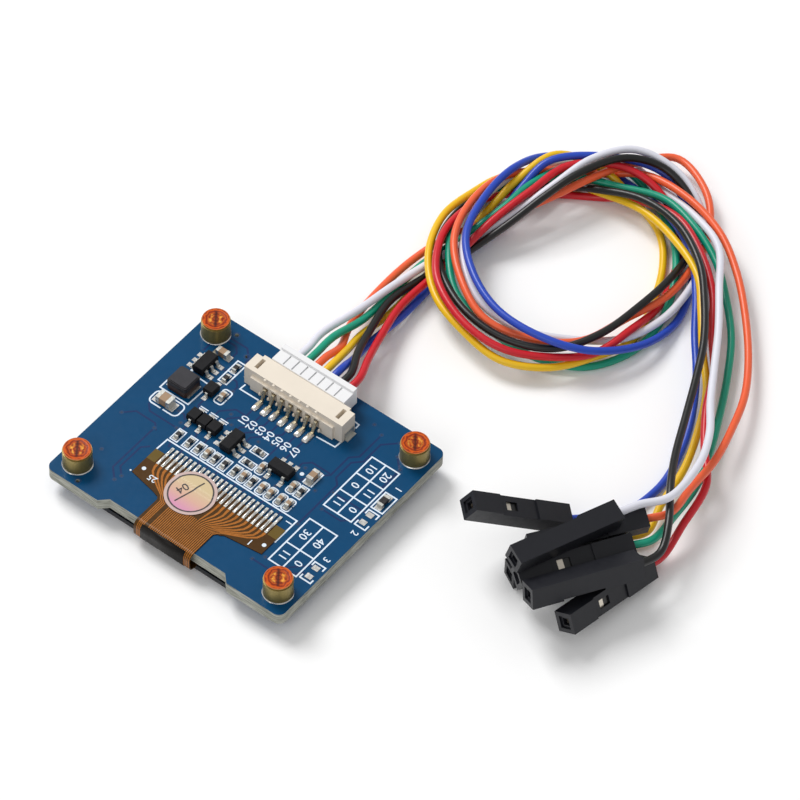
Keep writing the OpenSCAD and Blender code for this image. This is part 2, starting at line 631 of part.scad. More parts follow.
module diode(k) {
  color("#2b292a")
    at_place(diode_at[k])
      translate([0, -diode_w / 2, 0.08]) rotate([90, 0, 180]) translate([0, 0, 0])
        linear_extrude(diode_w)
          polygon([[-diode_l / 2 + 0.08, 0], [diode_l / 2 - 0.08, 0], [diode_l / 2, diode_h / 2],
            [diode_l / 2 - 0.12, diode_h], [-diode_l / 2 + 0.12, diode_h],
            [-diode_l / 2, diode_h / 2]]);
}

module diode_leads() {
  color("#c9c6be")
    for (d = diode_at) at_place(d)
      for (s = [0, 180]) rotate([0, 0, s])
        translate([diode_l / 2, -0.17, solder_t]) {
          translate([0.05, 0, 0]) cube([diode_span / 2 - diode_l / 2 - 0.05, 0.34, 0.12]);
          translate([0.05, 0, 0]) cube([0.12, 0.34, diode_h / 2 + 0.1]);
          translate([0, 0, diode_h / 2 - 0.04]) cube([0.1, 0.34, 0.12]);
        }
}

// chips: body between two end caps
module chip_body(p, share) {
  s = p[3];
  at_place(p) translate([-s[0] * (1 - 2 * share) / 2, -s[1] / 2 + 0.01, solder_t + 0.01])
    cube([s[0] * (1 - 2 * share), s[1] - 0.02, s[2] - 0.02]);
}

module chip_ends(p, share) {
  s = p[3];
  at_place(p) for (e = [0, 180]) rotate([0, 0, e])
    translate([s[0] * (1 - 2 * share) / 2, -s[1] / 2, solder_t]) cube([s[0] * share, s[1], s[2]]);
}

resistor_share = 0.2;
capacitor_share = 0.25;

module resistors() {
  color("#1d1c1e") for (p = resistor_at) chip_body(p, resistor_share);
}

module resistor_ends() {
  color("#c8c8c6") for (p = resistor_at) chip_ends(p, resistor_share);
}

module capacitors() {
  color("#8a6f50") for (p = capacitor_at) chip_body(p, capacitor_share);
}

module capacitor_ends() {
  color("#c8c8c6") for (p = capacitor_at) chip_ends(p, capacitor_share);
}

module pad(x, y, l, w) {
  translate([x - l / 2, y - w / 2, 0]) cube([l, w, solder_t]);
}

// solder under every terminal, and the bare pads
module solder_pads() {
  color("#d9d5c6") {
    for (p = concat(resistor_at, capacitor_at)) at_place(p) for (s = [-1, 1])
      pad(s * p[3][0] * 0.5, 0, p[3][0] * 0.55, p[3][1] + 0.1);
    for (d = diode_at) at_place(d) for (s = [-1, 1]) pad(s * diode_span / 2, 0, 0.7, 0.6);
    for (at = [boost_at, shifter_at], k = [-1:1], s = [-1, 1])
      at_place(at) pad(k * lead_pitch, s * package_span / 2, lead_w + 0.2, 0.9);
    at_place(regulator_at) {
      for (k = [-1:1]) pad(k * lead_pitch, package_span / 2, lead_w + 0.2, 0.9);
      for (k = [-1, 1]) pad(k * lead_pitch, -package_span / 2, lead_w + 0.2, 0.9);
    }
    translate([0, 0, top_z]) {
      for (b = bare_pad_at) pad(b[0], b[1], 0.85, 0.7);
      at_ways() pad(0, foot_y + 0.25, 0.55, 1.35);
      for (s = [-1, 1]) pad(inductor_at[0] + s * (inductor_w / 2 - 0.2), inductor_at[1], 0.9, 2.3);
    }
  }
}

module at_shell(k) {
  p = shell_at[k];
  translate([p[0], p[1], p[2]]) rotate([0, 0, p[3]]) rotate([p[4], 0, 0]) rotate([0, p[5], 0])
    children();
}

// single-way socket shell, its front at y = 0
module shell(k) {
  color("#33363c") at_shell(k)
    difference() {
      translate([-shell_w / 2, 0, -shell_w / 2]) cube([shell_w, shell_l, shell_w]);
      translate([-shell_cavity_w / 2, shell_front_t, -shell_cavity_w / 2])
        cube([shell_cavity_w, shell_l, shell_cavity_w]);
      translate([-shell_hole_w / 2, -1, -shell_hole_w / 2])
        cube([shell_hole_w, shell_front_t + 2, shell_hole_w]);
      translate([-shell_hole_w / 2 - 0.3, -1, -shell_hole_w / 2 - 0.3])
        cube([shell_hole_w + 0.6, 1.25, shell_hole_w + 0.6]);
      translate([-0.55, window_y, 0]) cube([1.1, window_l, shell_w]);
      translate([-shell_w, latch_y, shell_w / 2 - 0.22]) cube([2 * shell_w, latch_l, 1]);
    }
}

// contact: box for the pin, crimp behind it up to the wire's end
module contact(k) {
  back = shell_l - wire_grip;
  color("#cfb06a") at_shell(k)
    difference() {
      union() {
        translate([-contact_w / 2, shell_front_t, -contact_w / 2]) cube([contact_w, 6, contact_w]);
        translate([-contact_w / 2 + 0.2, shell_front_t + 6, -contact_w / 2 + 0.2])
          cube([contact_w - 0.4, back - shell_front_t - 6, contact_w - 0.4]);
      }
      translate([-shell_hole_w / 2, 0, -shell_hole_w / 2])
        cube([shell_hole_w, shell_front_t + 5, shell_hole_w]);
    }
}

// turns a vector of a shell's own frame into the part's frame
function yaw_of(v, a) = [v[0] * cos(a) - v[1] * sin(a), v[0] * sin(a) + v[1] * cos(a), v[2]];
function pitch_of(v, a) = [v[0], v[1] * cos(a) - v[2] * sin(a), v[1] * sin(a) + v[2] * cos(a)];
function in_shell(k, y) = [shell_at[k][0], shell_at[k][1], shell_at[k][2]]
  + yaw_of(pitch_of([0, y, 0], shell_at[k][4]), shell_at[k][3]);

// a wire's points: out of the plug, along its route, into its shell
function wire_points(k) = concat(
  [[way_x0 + k * way_pitch, terminal_back_y, wire_z], [way_x0 + k * way_pitch, plug_back_y, wire_z],
    [way_x0 + k * way_pitch, plug_back_y + wire_exit, wire_z]],
  routes[k],
  [in_shell(k, shell_l), in_shell(k, shell_l - wire_grip)]);

// smooth curve through the points, ends held straight
function curve_at(p, i, t) = let (n = len(p), a = p[max(i - 1, 0)], b = p[i], c = p[i + 1],
    d = p[min(i + 2, n - 1)])
  0.5 * (2 * b + (c - a) * t + (2 * a - 5 * b + 4 * c - d) * t * t
    + (3 * b - a - 3 * c + d) * t * t * t);
function curve(p) = let (n = len(p)) concat([p[0]],
  [for (i = [1:n - 3]) for (j = [0:wire_steps - 1]) curve_at(p, i, j / wire_steps)],
  [p[n - 2], p[n - 1]]);
function unit(v) = v / norm(v);
function way_of(q, i) = let (n = len(q)) i == 0 ? unit(q[1] - q[0])
  : i == n - 1 ? unit(q[n - 1] - q[n - 2]) : unit(unit(q[i + 1] - q[i]) + unit(q[i] - q[i - 1]));
function ring(c, w, r) = let (s = unit(cross(w, [0, 0, 1])), u = cross(s, w))
  [for (j = [0:wire_sides - 1]) let (a = 22.5 + j * 360 / wire_sides) c + r * (cos(a) * s + sin(a) * u)];

// a wire: one tube swept through its rings
module wire(k, shade) {
  q = curve(wire_points(k));
  n = len(q);
  m = wire_sides;
  pts = [for (i = [0:n - 1]) each ring(q[i], way_of(q, i), wire_d / 2)];
  faces = concat([[for (j = [0:m - 1]) j]],
    [for (i = [0:n - 2]) for (j = [0:m - 1])
      [i * m + j, (i + 1) * m + j, (i + 1) * m + (j + 1) % m, i * m + (j + 1) % m]],
    [[for (j = [m - 1:-1:0]) (n - 1) * m + j]]);
  color(shade) polyhedron(pts, faces, convexity = 10);
}

circuit_board();
display_glass();
cover_glass();
polariser();
foam_pad();
flex_cable();
flex_fingers();
fold_tape();
sticker();
standoff(0);  // standoff_1
standoff(1);  // standoff_2
standoff(2);  // standoff_3
standoff(3);  // standoff_4
pickup_dot(0);  // pickup_dot_1
pickup_dot(1);  // pickup_dot_2
pickup_dot(2);  // pickup_dot_3
pickup_dot(3);  // pickup_dot_4
header_housing();
header_pins();
header_tabs();
plug_housing();
plug_terminals();
inductor();
boost_converter();
level_shifter();
regulator();
package_leads();
diode(0);  // diode_1
diode(1);  // diode_2
diode(2);  // diode_3
diode(3);  // diode_4
diode_leads();
resistors();
resistor_ends();
capacitors();
capacitor_ends();
solder_pads();
wire(0, "#eceaf0");  // wire_white
wire(1, "#149678");  // wire_green
wire(2, "#eb6941");  // wire_orange
wire(3, "#deb41e");  // wire_yellow
wire(4, "#2850be");  // wire_blue
wire(5, "#232320");  // wire_black
wire(6, "#d72332");  // wire_red
shell(0);  // shell_white
shell(1);  // shell_green
shell(2);  // shell_orange
shell(3);  // shell_yellow
shell(4);  // shell_blue
shell(5);  // shell_black
shell(6);  // shell_red
contact(0);  // contact_white
contact(1);  // contact_green
contact(2);  // contact_orange
contact(3);  // contact_yellow
contact(4);  // contact_blue
contact(5);  // contact_black
contact(6);  // contact_red
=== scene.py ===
import math
import bpy
from mathutils import Matrix, Vector


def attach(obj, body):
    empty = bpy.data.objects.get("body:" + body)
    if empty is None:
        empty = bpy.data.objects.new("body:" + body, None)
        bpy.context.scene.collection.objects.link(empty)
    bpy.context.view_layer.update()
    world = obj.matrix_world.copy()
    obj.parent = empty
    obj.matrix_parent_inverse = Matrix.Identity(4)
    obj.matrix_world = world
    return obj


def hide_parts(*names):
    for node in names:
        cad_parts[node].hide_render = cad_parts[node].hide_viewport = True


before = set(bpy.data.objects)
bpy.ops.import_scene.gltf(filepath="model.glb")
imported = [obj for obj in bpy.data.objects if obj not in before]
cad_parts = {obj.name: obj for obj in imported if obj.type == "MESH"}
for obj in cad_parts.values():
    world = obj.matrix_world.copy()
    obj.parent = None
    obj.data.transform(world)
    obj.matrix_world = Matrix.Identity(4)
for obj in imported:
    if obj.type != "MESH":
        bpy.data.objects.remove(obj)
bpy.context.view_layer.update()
MM = 0.001


# ---- Camera ----
# A long lens looks down on the component side from the flex cable's end of the board, so the
# module lies on the left of the view and its lead on the right.

camera = bpy.data.objects.new("camera", bpy.data.cameras.new("camera"))
camera.data.lens = 229.135
camera.data.sensor_width = 36
camera.data.clip_start = 0.01
camera.data.clip_end = 20
azimuth, elevation, lean = math.radians(36.2485), math.radians(50.539), math.radians(2.1316)
across = Vector((math.cos(azimuth), math.sin(azimuth), 0))
level = Vector((-math.sin(azimuth), math.cos(azimuth), 0))
ahead = level * math.cos(elevation) - Vector((0, 0, 1)) * math.sin(elevation)
upward = level * math.sin(elevation) + Vector((0, 0, 1)) * math.cos(elevation)
right = across * math.cos(lean) + upward * math.sin(lean)
top = upward * math.cos(lean) - across * math.sin(lean)
camera.matrix_world = Matrix.Translation((0.229692, -0.283988, 0.458479)) @ Matrix(
    (right, top, -ahead)).transposed().to_4x4()
bpy.context.collection.objects.link(camera)
bpy.context.scene.camera = camera


# ---- Wires ----
# Seven stranded wires in smooth coloured vinyl, crimped into the plug at one end and into a
# single socket at the other. They lie in one loose loop, over and under each other.

WIRE_D, VINYL_R, WIRE_SIDES = 0.95, 0.47, 16
PLUG_X0, WAY, PLUG_BACK, WIRE_Z = -4.0, 1.25, 14.0, 5.35
# Each socket shell: X, Y and Z of its front, then its turn about Z and its tilt in degrees.
SHELL_AT = {
    "white": (34.6, 4.6, 8.4, -20, -3.7),
    "green": (34.8, 5.2, 4.6, -31.5, -0.6),
    "orange": (33.1, 9.6, 4.3, -36, 2.5),
    "yellow": (32.4, 7.2, 1.3, -29.5, 0),
    "blue": (26.2, 7.3, 8.8, -33, -31),
    "black": (38.2, 2.6, 6.8, -28, -5.7),
    "red": (42.5, 4, 3.8, -7, -8.5),
}
COLOURS = list(SHELL_AT)
ROUTES = {
    "white": [(-4.5, 20, 4.6), (-4, 26, 3.4), (-3.5, 32, 2.7), (-2.5, 38, 2.3), (-1, 43.5, 2.4),
        (1, 49.5, 3.3), (2.5, 55, 4.5), (4, 61, 5.3), (7, 66, 4.7), (12.5, 67.5, 2.9), (18, 65, 1.3),
        (21.5, 60.5, 0.9), (23.5, 55, 1.8), (24, 48.5, 2), (22, 43, 1.8), (17.5, 39, 2), (12, 36, 2.6),
        (6, 36, 3.4), (1, 39.5, 4.1), (-2, 44.5, 3.8), (-3.5, 50.5, 3), (-3, 56.5, 1.8), (0.5, 62, 1.7),
        (5.5, 66, 1.5), (11.5, 65, 1.7), (18, 63, 3.1), (23.5, 60, 4.1), (27.5, 54.5, 4.4), (31, 49.5, 4.3),
        (34, 44.5, 4.5), (37, 39.5, 5), (40, 35, 5.6), (42, 30, 6.4), (42.5, 24, 7), (40.5, 20.5, 7.3)],
    "green": [(-3, 20, 4.8), (-3, 25.5, 2.8), (-3.5, 31.5, 1.6), (-3.5, 37.5, 1.5), (-2, 43.5, 2.2),
        (-0.5, 49, 3.5), (0, 54.5, 3.7), (1.5, 61, 2.4), (6.5, 65, 1.3), (12, 63.5, 0.6), (17, 60, 1.5),
        (21, 55, 1.6), (23.5, 49, 1), (23.5, 43, 0.6), (20.5, 37.5, 0.6), (15, 34.5, 1.3), (9, 34, 2.3),
        (3, 35.5, 3.1), (-1.5, 40, 3.6), (-4, 45, 2.4), (-4.5, 50.5, 1.5), (-2, 55.5, 1.5),
        (2.5, 59.5, 2.2), (8, 61.5, 2.6), (13.5, 63, 3), (19, 61.5, 3.2), (24, 59, 2.7), (28.5, 55, 2.1),
        (32, 51, 1.8), (35, 46, 1.5), (37.5, 41, 1.4), (40, 35.5, 1.7), (42, 30, 2.4), (43, 24, 3.5),
        (43.5, 19.5, 4.4)],
    "orange": [(-2, 20, 3.7), (-4, 24.5, 2.2), (-5, 31, 1.5), (-5, 37.5, 1.2), (-3.5, 43, 1.7),
        (-0.5, 48.5, 2.2), (2.5, 54, 3), (5, 60, 3.5), (7, 65.5, 2.7), (10.5, 70, 2.1), (16.5, 67.5, 2.3),
        (20.5, 62.5, 2), (22, 57, 2), (22.5, 51, 2.5), (21, 45, 2.9), (19, 39, 2.9), (14.5, 35.5, 3),
        (8.5, 34, 3.6), (3, 36.5, 4.4), (-1.5, 41, 4.7), (-3.5, 47, 4.5), (-3.5, 53.5, 3.4),
        (-0.5, 59, 1.8), (4, 62.5, 1.3), (9.5, 65, 2.7), (16, 64.5, 3.5), (22, 62.5, 3.4), (27, 59, 2.9),
        (31.5, 54.5, 2.4), (35.5, 49.5, 2.2), (38.5, 44.5, 2.4), (40.5, 39, 3), (42, 33.5, 3.8),
        (42.5, 28, 4.5), (43, 23.5, 5)],
    "yellow": [(-1, 20, 3.9), (-2, 24, 2.2), (-2, 30, 1), (-2.5, 36.5, 0.6), (-3, 43, 0.6),
        (-2.5, 48.5, 1.7), (-2, 54.5, 3.2), (-0.5, 60, 3.8), (4.5, 62.5, 2.6), (10, 62, 0.9), (15, 60, 0.7),
        (18.5, 56, 0.6), (21, 50.5, 0.6), (22.5, 44.5, 0.6), (21, 39, 1.5), (18, 34, 1.9), (13, 31, 2.3),
        (7, 31.5, 2.8), (1.5, 33.5, 3.2), (-3, 38, 3.3), (-5.5, 44, 3), (-5.5, 50, 2.1), (-4.5, 55.5, 0.9),
        (0.5, 59, 0.8), (6.5, 60, 1.7), (12.5, 60, 2.8), (18.5, 58, 3.7), (24, 55, 4), (27.5, 51, 3.5),
        (31, 46.5, 3), (34.5, 42.5, 2.3), (37, 37.5, 1.9), (39, 32, 1.6), (40, 26, 1.4), (41, 22, 1.3)],
    "blue": [(0, 20, 3), (-0.5, 24, 2.1), (-0.5, 30, 1.3), (-1, 36.5, 0.6), (-1, 42.5, 0.6),
        (-1, 48.5, 1.2), (-1, 53.5, 2.9), (0, 58.5, 4.5), (5, 63.5, 4.2), (10.5, 66.5, 2.8),
        (15.5, 65, 1.3), (19.5, 61, 0.7), (23, 55.5, 0.5), (25, 49.5, 0.8), (24.5, 43, 2.4), (21, 37.5, 4),
        (15.5, 35, 4.9), (9.5, 35, 5.1), (4, 37.5, 5.3), (-0.5, 42, 5.3), (-2.5, 48.5, 5), (-3, 55, 4.1),
        (-2, 61, 1.6), (3, 64, 0.5), (9.5, 63.5, 1.1), (15.5, 61.5, 2.3), (21, 58, 3.1), (25, 53.5, 2.7),
        (28.5, 48.5, 2.2), (32, 44, 1.6), (35, 39, 1.1), (37, 34, 0.8), (38, 28.5, 0.6), (37, 22.5, 0.7),
        (34, 19.5, 0.6)],
    "black": [(0.5, 20, 4.5), (-1, 24, 3.3), (-2.5, 30, 2.4), (-2, 36, 1.6), (-0.5, 42, 1.7),
        (1.5, 47.5, 3.4), (3, 53, 4.9), (4.5, 58.5, 5.6), (7, 64, 5), (11.5, 66.5, 3.6), (17, 64.5, 2.3),
        (20, 59.5, 1.8), (21.5, 53.5, 3.2), (21.5, 47, 3.8), (20.5, 40.5, 3.9), (17.5, 35.5, 3.6),
        (12, 33, 3.6), (5.5, 33.5, 3.8), (-0.5, 37, 3.6), (-4, 42, 2.7), (-5.5, 49, 1), (-4, 54, 0.6),
        (0, 57.5, 0.8), (6, 59.5, 2.5), (12, 60.5, 4.1), (18, 59.5, 4.6), (23.5, 56, 4.9),
        (27.5, 51.5, 4.9), (31, 46.5, 4.8), (33.5, 41.5, 4.7), (36, 36, 4.9), (38.5, 30.5, 5.3),
        (41, 26, 6), (44, 21.5, 5.9), (45.5, 18, 5.2)],
    "red": [(2, 20, 4.3), (0.5, 24, 3.1), (-1, 30, 2.5), (-1, 36, 2.2), (-0.5, 41.5, 2.9), (0, 47, 3.9),
        (1, 53, 4.5), (2, 59, 4.4), (6.5, 63, 4.1), (11.5, 64, 2.7), (17, 61.5, 1.1), (20, 56.5, 0.5),
        (22, 50.5, 1), (22.5, 44, 3), (21, 38, 2.8), (16, 33.5, 3), (11.5, 31.5, 3.6), (6, 32, 4.1),
        (0.5, 35, 4.5), (-3, 40.5, 4.2), (-4, 46.5, 3.1), (-3, 52, 1.6), (1, 56.5, 0.7), (6, 60, 0.6),
        (11, 61.5, 2.2), (17, 61, 3.7), (22.5, 58, 3.8), (27, 54, 3.6), (30.5, 49, 3.4), (34, 44.5, 3.2),
        (36.5, 39.5, 3.3), (39.5, 35, 3.1), (43, 30.5, 2.9), (44, 24.5, 2.2), (44.5, 20.5, 1.4)],
}


def srgb(r, g, b):
    """A colour written as 0 to 255, as Blender's linear values."""
    made = []
    for v in (r, g, b):
        v /= 255
        made.append(v / 12.92 if v <= 0.04045 else ((v + 0.055) / 1.055) ** 2.4)
    return (*made, 1)


def finish(name, colour, roughness, specular=0.5, **more):
    """A new material with its Principled BSDF set; returns material, nodes, links, shader."""
    mat = bpy.data.materials.new(name)
    mat.use_nodes = True
    nodes, links = mat.node_tree.nodes, mat.node_tree.links
    shader = nodes["Principled BSDF"]
    more |= {"Base_Color": colour, "Roughness": roughness, "Specular_IOR_Level": specular}
    for key, value in more.items():
        shader.inputs[key.replace("_", " ")].default_value = value
    return mat, nodes, links, shader


def new_group(name, inputs, outputs, kind="ShaderNodeTree"):
    """A node group with named sockets, (name, type) each; returns tree, way in, way out."""
    tree = bpy.data.node_groups.new(name, kind)
    for way, sockets in (("INPUT", inputs), ("OUTPUT", outputs)):
        for label, sort in sockets:
            tree.interface.new_socket(label, in_out=way, socket_type="NodeSocket" + sort)
    return tree, tree.nodes.new("NodeGroupInput"), tree.nodes.new("NodeGroupOutput")


def feed(links, socket, value):
    """Gives an input a constant, or a link from another node."""
    if isinstance(value, (int, float, tuple)):
        socket.default_value = value
    else:
        links.new(value, socket)


def calculator(nodes, links):
    """A function that adds Math nodes to one tree, fed with numbers or sockets."""
    def calc(kind, a, b=None, c=None, clamp=False):
        node = nodes.new("ShaderNodeMath")
        node.operation = kind
        node.use_clamp = clamp
        for i, v in enumerate((a, b, c)):
            if v is not None:
                feed(links, node.inputs[i], v)
        return node.outputs[0]
    return calc


def noise(nodes, links, vector, scale, detail=2):
    """A noise texture's value at a place."""
    node = nodes.new("ShaderNodeTexNoise")
    node.inputs["Detail"].default_value = detail
    links.new(vector, node.inputs["Vector"])
    feed(links, node.inputs["Scale"], scale)
    return node.outputs["Fac"]


def bump(nodes, links, height, distance, strength):
    """A normal raised by a height."""
    node = nodes.new("ShaderNodeBump")
    node.inputs["Distance"].default_value = distance
    feed(links, node.inputs["Strength"], strength)
    links.new(height, node.inputs["Height"])
    return node.outputs["Normal"]


# One effect for every moulded or painted surface: mottling of the colour, uneven gloss and a
# fine skin in the normal, all at sizes set where it is used.
grain, gi, go = new_group(
    "moulded_skin",
    [("Colour", "Color")] + [(key, "Float") for key in ("Size", "Mottle", "Roughness", "Uneven", "Relief")],
    [("Colour", "Color"), ("Roughness", "Float"), ("Normal", "Vector")])
gn, gl = grain.nodes, grain.links
where = gn.new("ShaderNodeTexCoord").outputs["Object"]
calc = calculator(gn, gl)
coarse = noise(gn, gl, where, calc("MULTIPLY", gi.outputs["Size"], 0.25), 4)
fine = noise(gn, gl, where, gi.outputs["Size"], 6)
swing = calc("MULTIPLY", calc("SUBTRACT", coarse, 0.5), gi.outputs["Mottle"])
tint = gn.new("ShaderNodeVectorMath")
tint.operation = "SCALE"
gl.new(gi.outputs["Colour"], tint.inputs[0])
gl.new(calc("MULTIPLY_ADD", swing, 2.0, 1.0), tint.inputs["Scale"])
gl.new(tint.outputs[0], go.inputs["Colour"])
gl.new(calc("MULTIPLY_ADD", calc("SUBTRACT", fine, 0.5), gi.outputs["Uneven"], gi.outputs["Roughness"],
            clamp=True), go.inputs["Roughness"])
gl.new(bump(gn, gl, fine, 0.00002, gi.outputs["Relief"]), go.inputs["Normal"])


def skin(nodes, links, shader, colour, roughness, size, mottle, uneven, relief):
    """Gives a shader the moulded skin's gloss and normal; returns all that the skin puts out."""
    group = nodes.new("ShaderNodeGroup")
    group.node_tree = grain
    for key, value in (("Colour", colour), ("Size", size), ("Mottle", mottle), ("Roughness", roughness),
                       ("Uneven", uneven), ("Relief", relief)):
        group.inputs[key].default_value = value
    for key in ("Roughness", "Normal"):
        links.new(group.outputs[key], shader.inputs[key])
    return group.outputs


def skinned(name, colour, roughness, size=3000.0, mottle=0.1, uneven=0.1, relief=0.1, **more):
    """A material with the moulded skin's colour, gloss and normal."""
    mat, nodes, links, shader = finish(name, colour, roughness, **more)
    made = skin(nodes, links, shader, colour, roughness, size, mottle, uneven, relief)
    links.new(made["Colour"], shader.inputs["Base Color"])
    return mat


def show(name, data):
    """A new object in the scene."""
    obj = bpy.data.objects.new(name, data)
    bpy.context.collection.objects.link(obj)
    return obj


def lay(name, verts, faces, smooth):
    """A new object from points in millimetres."""
    mesh = bpy.data.meshes.new(name)
    mesh.from_pydata([tuple(c * MM for c in v) for v in verts], [], faces)
    if smooth:
        mesh.shade_smooth()
    return show(name, mesh)


def make(name, verts, faces, mat, smooth=False):
    """A new piece from points in millimetres, riding on the module."""
    obj = lay(name, verts, faces, smooth)
    obj.data.materials.append(mat)
    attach(obj, "root")
    return obj


def smooth_line(points, steps):
    """A smooth curve through the points, its ends held straight."""
    last = len(points) - 1
    line = [Vector(points[0])]
    for i in range(1, last - 1):
        a, b, c, d = (Vector(points[j]) for j in (i - 1, i, i + 1, min(i + 2, last)))
        for j in range(steps):
            t = j / steps
            line.append(0.5 * (2 * b + (c - a) * t + (2 * a - 5 * b + 4 * c - d) * t * t
                               + (3 * b - a - 3 * c + d) * t * t * t))
    return line + [Vector(points[-2]), Vector(points[-1])]


def band(faces, a, b, sides):
    """Joins two rings of points by quads, given each ring's first point."""
    for i in range(sides):
        j = (i + 1) % sides
        faces.append((a + i, a + j, b + j, b + i))


def tube(line, radius, sides):
    """Points and faces of a tube swept along a line, closed at both ends."""
    verts, faces = [], []
    side = None
    for i, p in enumerate(line):
        way = (line[min(i + 1, len(line) - 1)] - line[max(i - 1, 0)]).normalized()
        if side is None:
            side = way.cross(Vector((0, 0, 1))).normalized()
        side = (side - way * side.dot(way)).normalized()
        other = side.cross(way)
        for j in range(sides):
            a = math.tau * (j + 0.5) / sides
            verts.append(p + (side * math.cos(a) + other * math.sin(a)) * radius)
        if i:
            band(faces, (i - 1) * sides, i * sides, sides)
    faces.append(tuple(range(sides))[::-1])
    faces.append(tuple((len(line) - 1) * sides + j for j in range(sides)))
    return verts, faces


INSULATION = {
    "white": srgb(226, 226, 236), "green": srgb(0, 154, 122), "orange": srgb(240, 98, 54),
    "yellow": srgb(238, 190, 10), "blue": srgb(30, 70, 184), "black": srgb(18, 18, 18),
    "red": srgb(204, 16, 34)}
RUNS = {}
for n, name in enumerate(COLOURS):
    x, y, z, yaw, pitch = SHELL_AT[name]
    ya, pa = math.radians(yaw), math.radians(pitch)
    run = Vector((-math.sin(ya) * math.cos(pa), math.cos(ya) * math.cos(pa), math.sin(pa)))
    RUNS[name] = run
    out = [Vector((PLUG_X0 + n * WAY, PLUG_BACK + s, WIRE_Z)) for s in (-1, 0, 2.5)]
    into = [Vector((x, y, z)) + run * s for s in (14, 11)]
    line = smooth_line(out + [Vector(p) for p in ROUTES[name]] + into, 8)
    vinyl = skinned("vinyl_" + name, INSULATION[name], 0.34, size=1800, mottle=0.06,
                    uneven=0.14, relief=0.12)
    verts, faces = tube(line, VINYL_R, WIRE_SIDES)
    wire = make("lead_" + name, verts, faces, vinyl, smooth=True)
    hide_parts("wire_" + name)
    span = sum((b - a).length for a, b in zip(line, line[1:]))
    [p * MM for p in line]


# ---- Table and light ----
# The module lies on a plain white table in a light tent. One broad lamp stands high on the
# left, so the soft shadows fall to the right of the parts.


def blend(nodes, links, factor, a, b):
    """A mix of two colours or values."""
    node = nodes.new("ShaderNodeMix")
    node.data_type = "RGBA"
    for i, v in ((0, factor), (6, a), (7, b)):
        feed(links, node.inputs[i], v)
    return node.outputs[2]


PAPER_GREY = (0.86, 0.86, 0.87, 1)
paper, pn, pl, pshader = finish("table_white", PAPER_GREY, 0.9, specular=0)
rays = pn.new("ShaderNodeLightPath").outputs
calc = calculator(pn, pl)
seen = calc("MAXIMUM", rays["Is Camera Ray"],
            calc("MAXIMUM", rays["Is Glossy Ray"], rays["Is Transmission Ray"]))
pl.new(blend(pn, pl, seen, PAPER_GREY, (1.0, 1.0, 1.0, 1)), pshader.inputs["Base Color"])
FAR = 3000
table = lay("table", [(-FAR, -FAR, 0), (FAR, -FAR, 0), (FAR, FAR, 0), (-FAR, FAR, 0)], [(0, 1, 2, 3)], False)
table.data.materials.append(paper)

sky = bpy.data.worlds.new("tent")
sky.use_nodes = True
glow = sky.node_tree.nodes["Background"].inputs
glow["Color"].default_value = (1, 1, 1, 1)
glow["Strength"].default_value = 0.5
bpy.context.scene.world = sky
bpy.context.scene.view_settings.view_transform = "Standard"


def soft_lamp(name, spot, size, power):
    """A square lamp aimed at the middle of the module and its lead."""
    lamp = bpy.data.lights.new(name, "AREA")
    lamp.size = size
    lamp.energy = power
    aim = (Vector((0.015, 0.02, 0)) - Vector(spot)).to_track_quat("-Z", "Y")
    show(name, lamp).matrix_world = Matrix.Translation(spot) @ aim.to_matrix().to_4x4()


soft_lamp("tent_lamp", (-0.62, 0.16, 0.78), 0.42, 6.8)
soft_lamp("front_lamp", (0.1, -0.9, 0.7), 0.6, 1.9)


# ---- Circuit board ----
# Blue solder mask over copper on a glass-fibre board. The tracks show as slightly darker,
# slightly raised lines under the mask; the sawn edges show the pale fibre.

TOP = 3.5
TRACK_Z, RING_Z, LAND_Z, DIMPLE_Z = (TOP + lift for lift in (0.003, 0.006, 0.0065, 0.007))
TRACK_W, LAYER = 0.24, 0.0004
MASK = srgb(0, 68, 110)


def dress(node, mat):
    """Gives a CAD node's object one material in every slot."""
    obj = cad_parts[node]
    if not obj.material_slots:
        obj.data.materials.append(mat)
    for slot in obj.material_slots:
        slot.material = mat


def faces_up(nodes, links, calc):
    """One where a surface lies flat, nought on its sides."""
    split = nodes.new("ShaderNodeSeparateXYZ")
    links.new(nodes.new("ShaderNodeTexCoord").outputs["Normal"], split.inputs[0])
    return calc("GREATER_THAN", calc("ABSOLUTE", split.outputs["Z"]), 0.5)


def ramp(nodes, links, value, *stops):
    """Colours along a value: (position, colour) each."""
    node = nodes.new("ShaderNodeValToRGB")
    links.new(value, node.inputs["Fac"])
    elements = node.color_ramp.elements
    for i, (position, colour) in enumerate(stops):
        stop = elements[i] if i < 2 else elements.new(position)
        stop.position, stop.color = position, colour
    return node.outputs["Color"]


board_mat, bn, bl, bshader = finish("board", MASK, 0.3, specular=0.2)
painted = skin(bn, bl, bshader, MASK, 0.24, 1500.0, 0.09, 0.1, 0.08)
fibre_map = bn.new("ShaderNodeMapping")
fibre_map.inputs["Scale"].default_value = (500, 500, 9000)
bl.new(bn.new("ShaderNodeTexCoord").outputs["Object"], fibre_map.inputs["Vector"])
fibre = noise(bn, bl, fibre_map.outputs["Vector"], 1.0, 5)
sawn = ramp(bn, bl, fibre, (0.36, srgb(116, 118, 108)), (0.62, srgb(186, 187, 177)))
flat = faces_up(bn, bl, calculator(bn, bl))
bl.new(blend(bn, bl, flat, sawn, painted["Colour"]), bshader.inputs["Base Color"])
bl.new(blend(bn, bl, flat, (0.75, 0.75, 0.75, 1), painted["Roughness"]), bshader.inputs["Roughness"])
dress("circuit_board", board_mat)


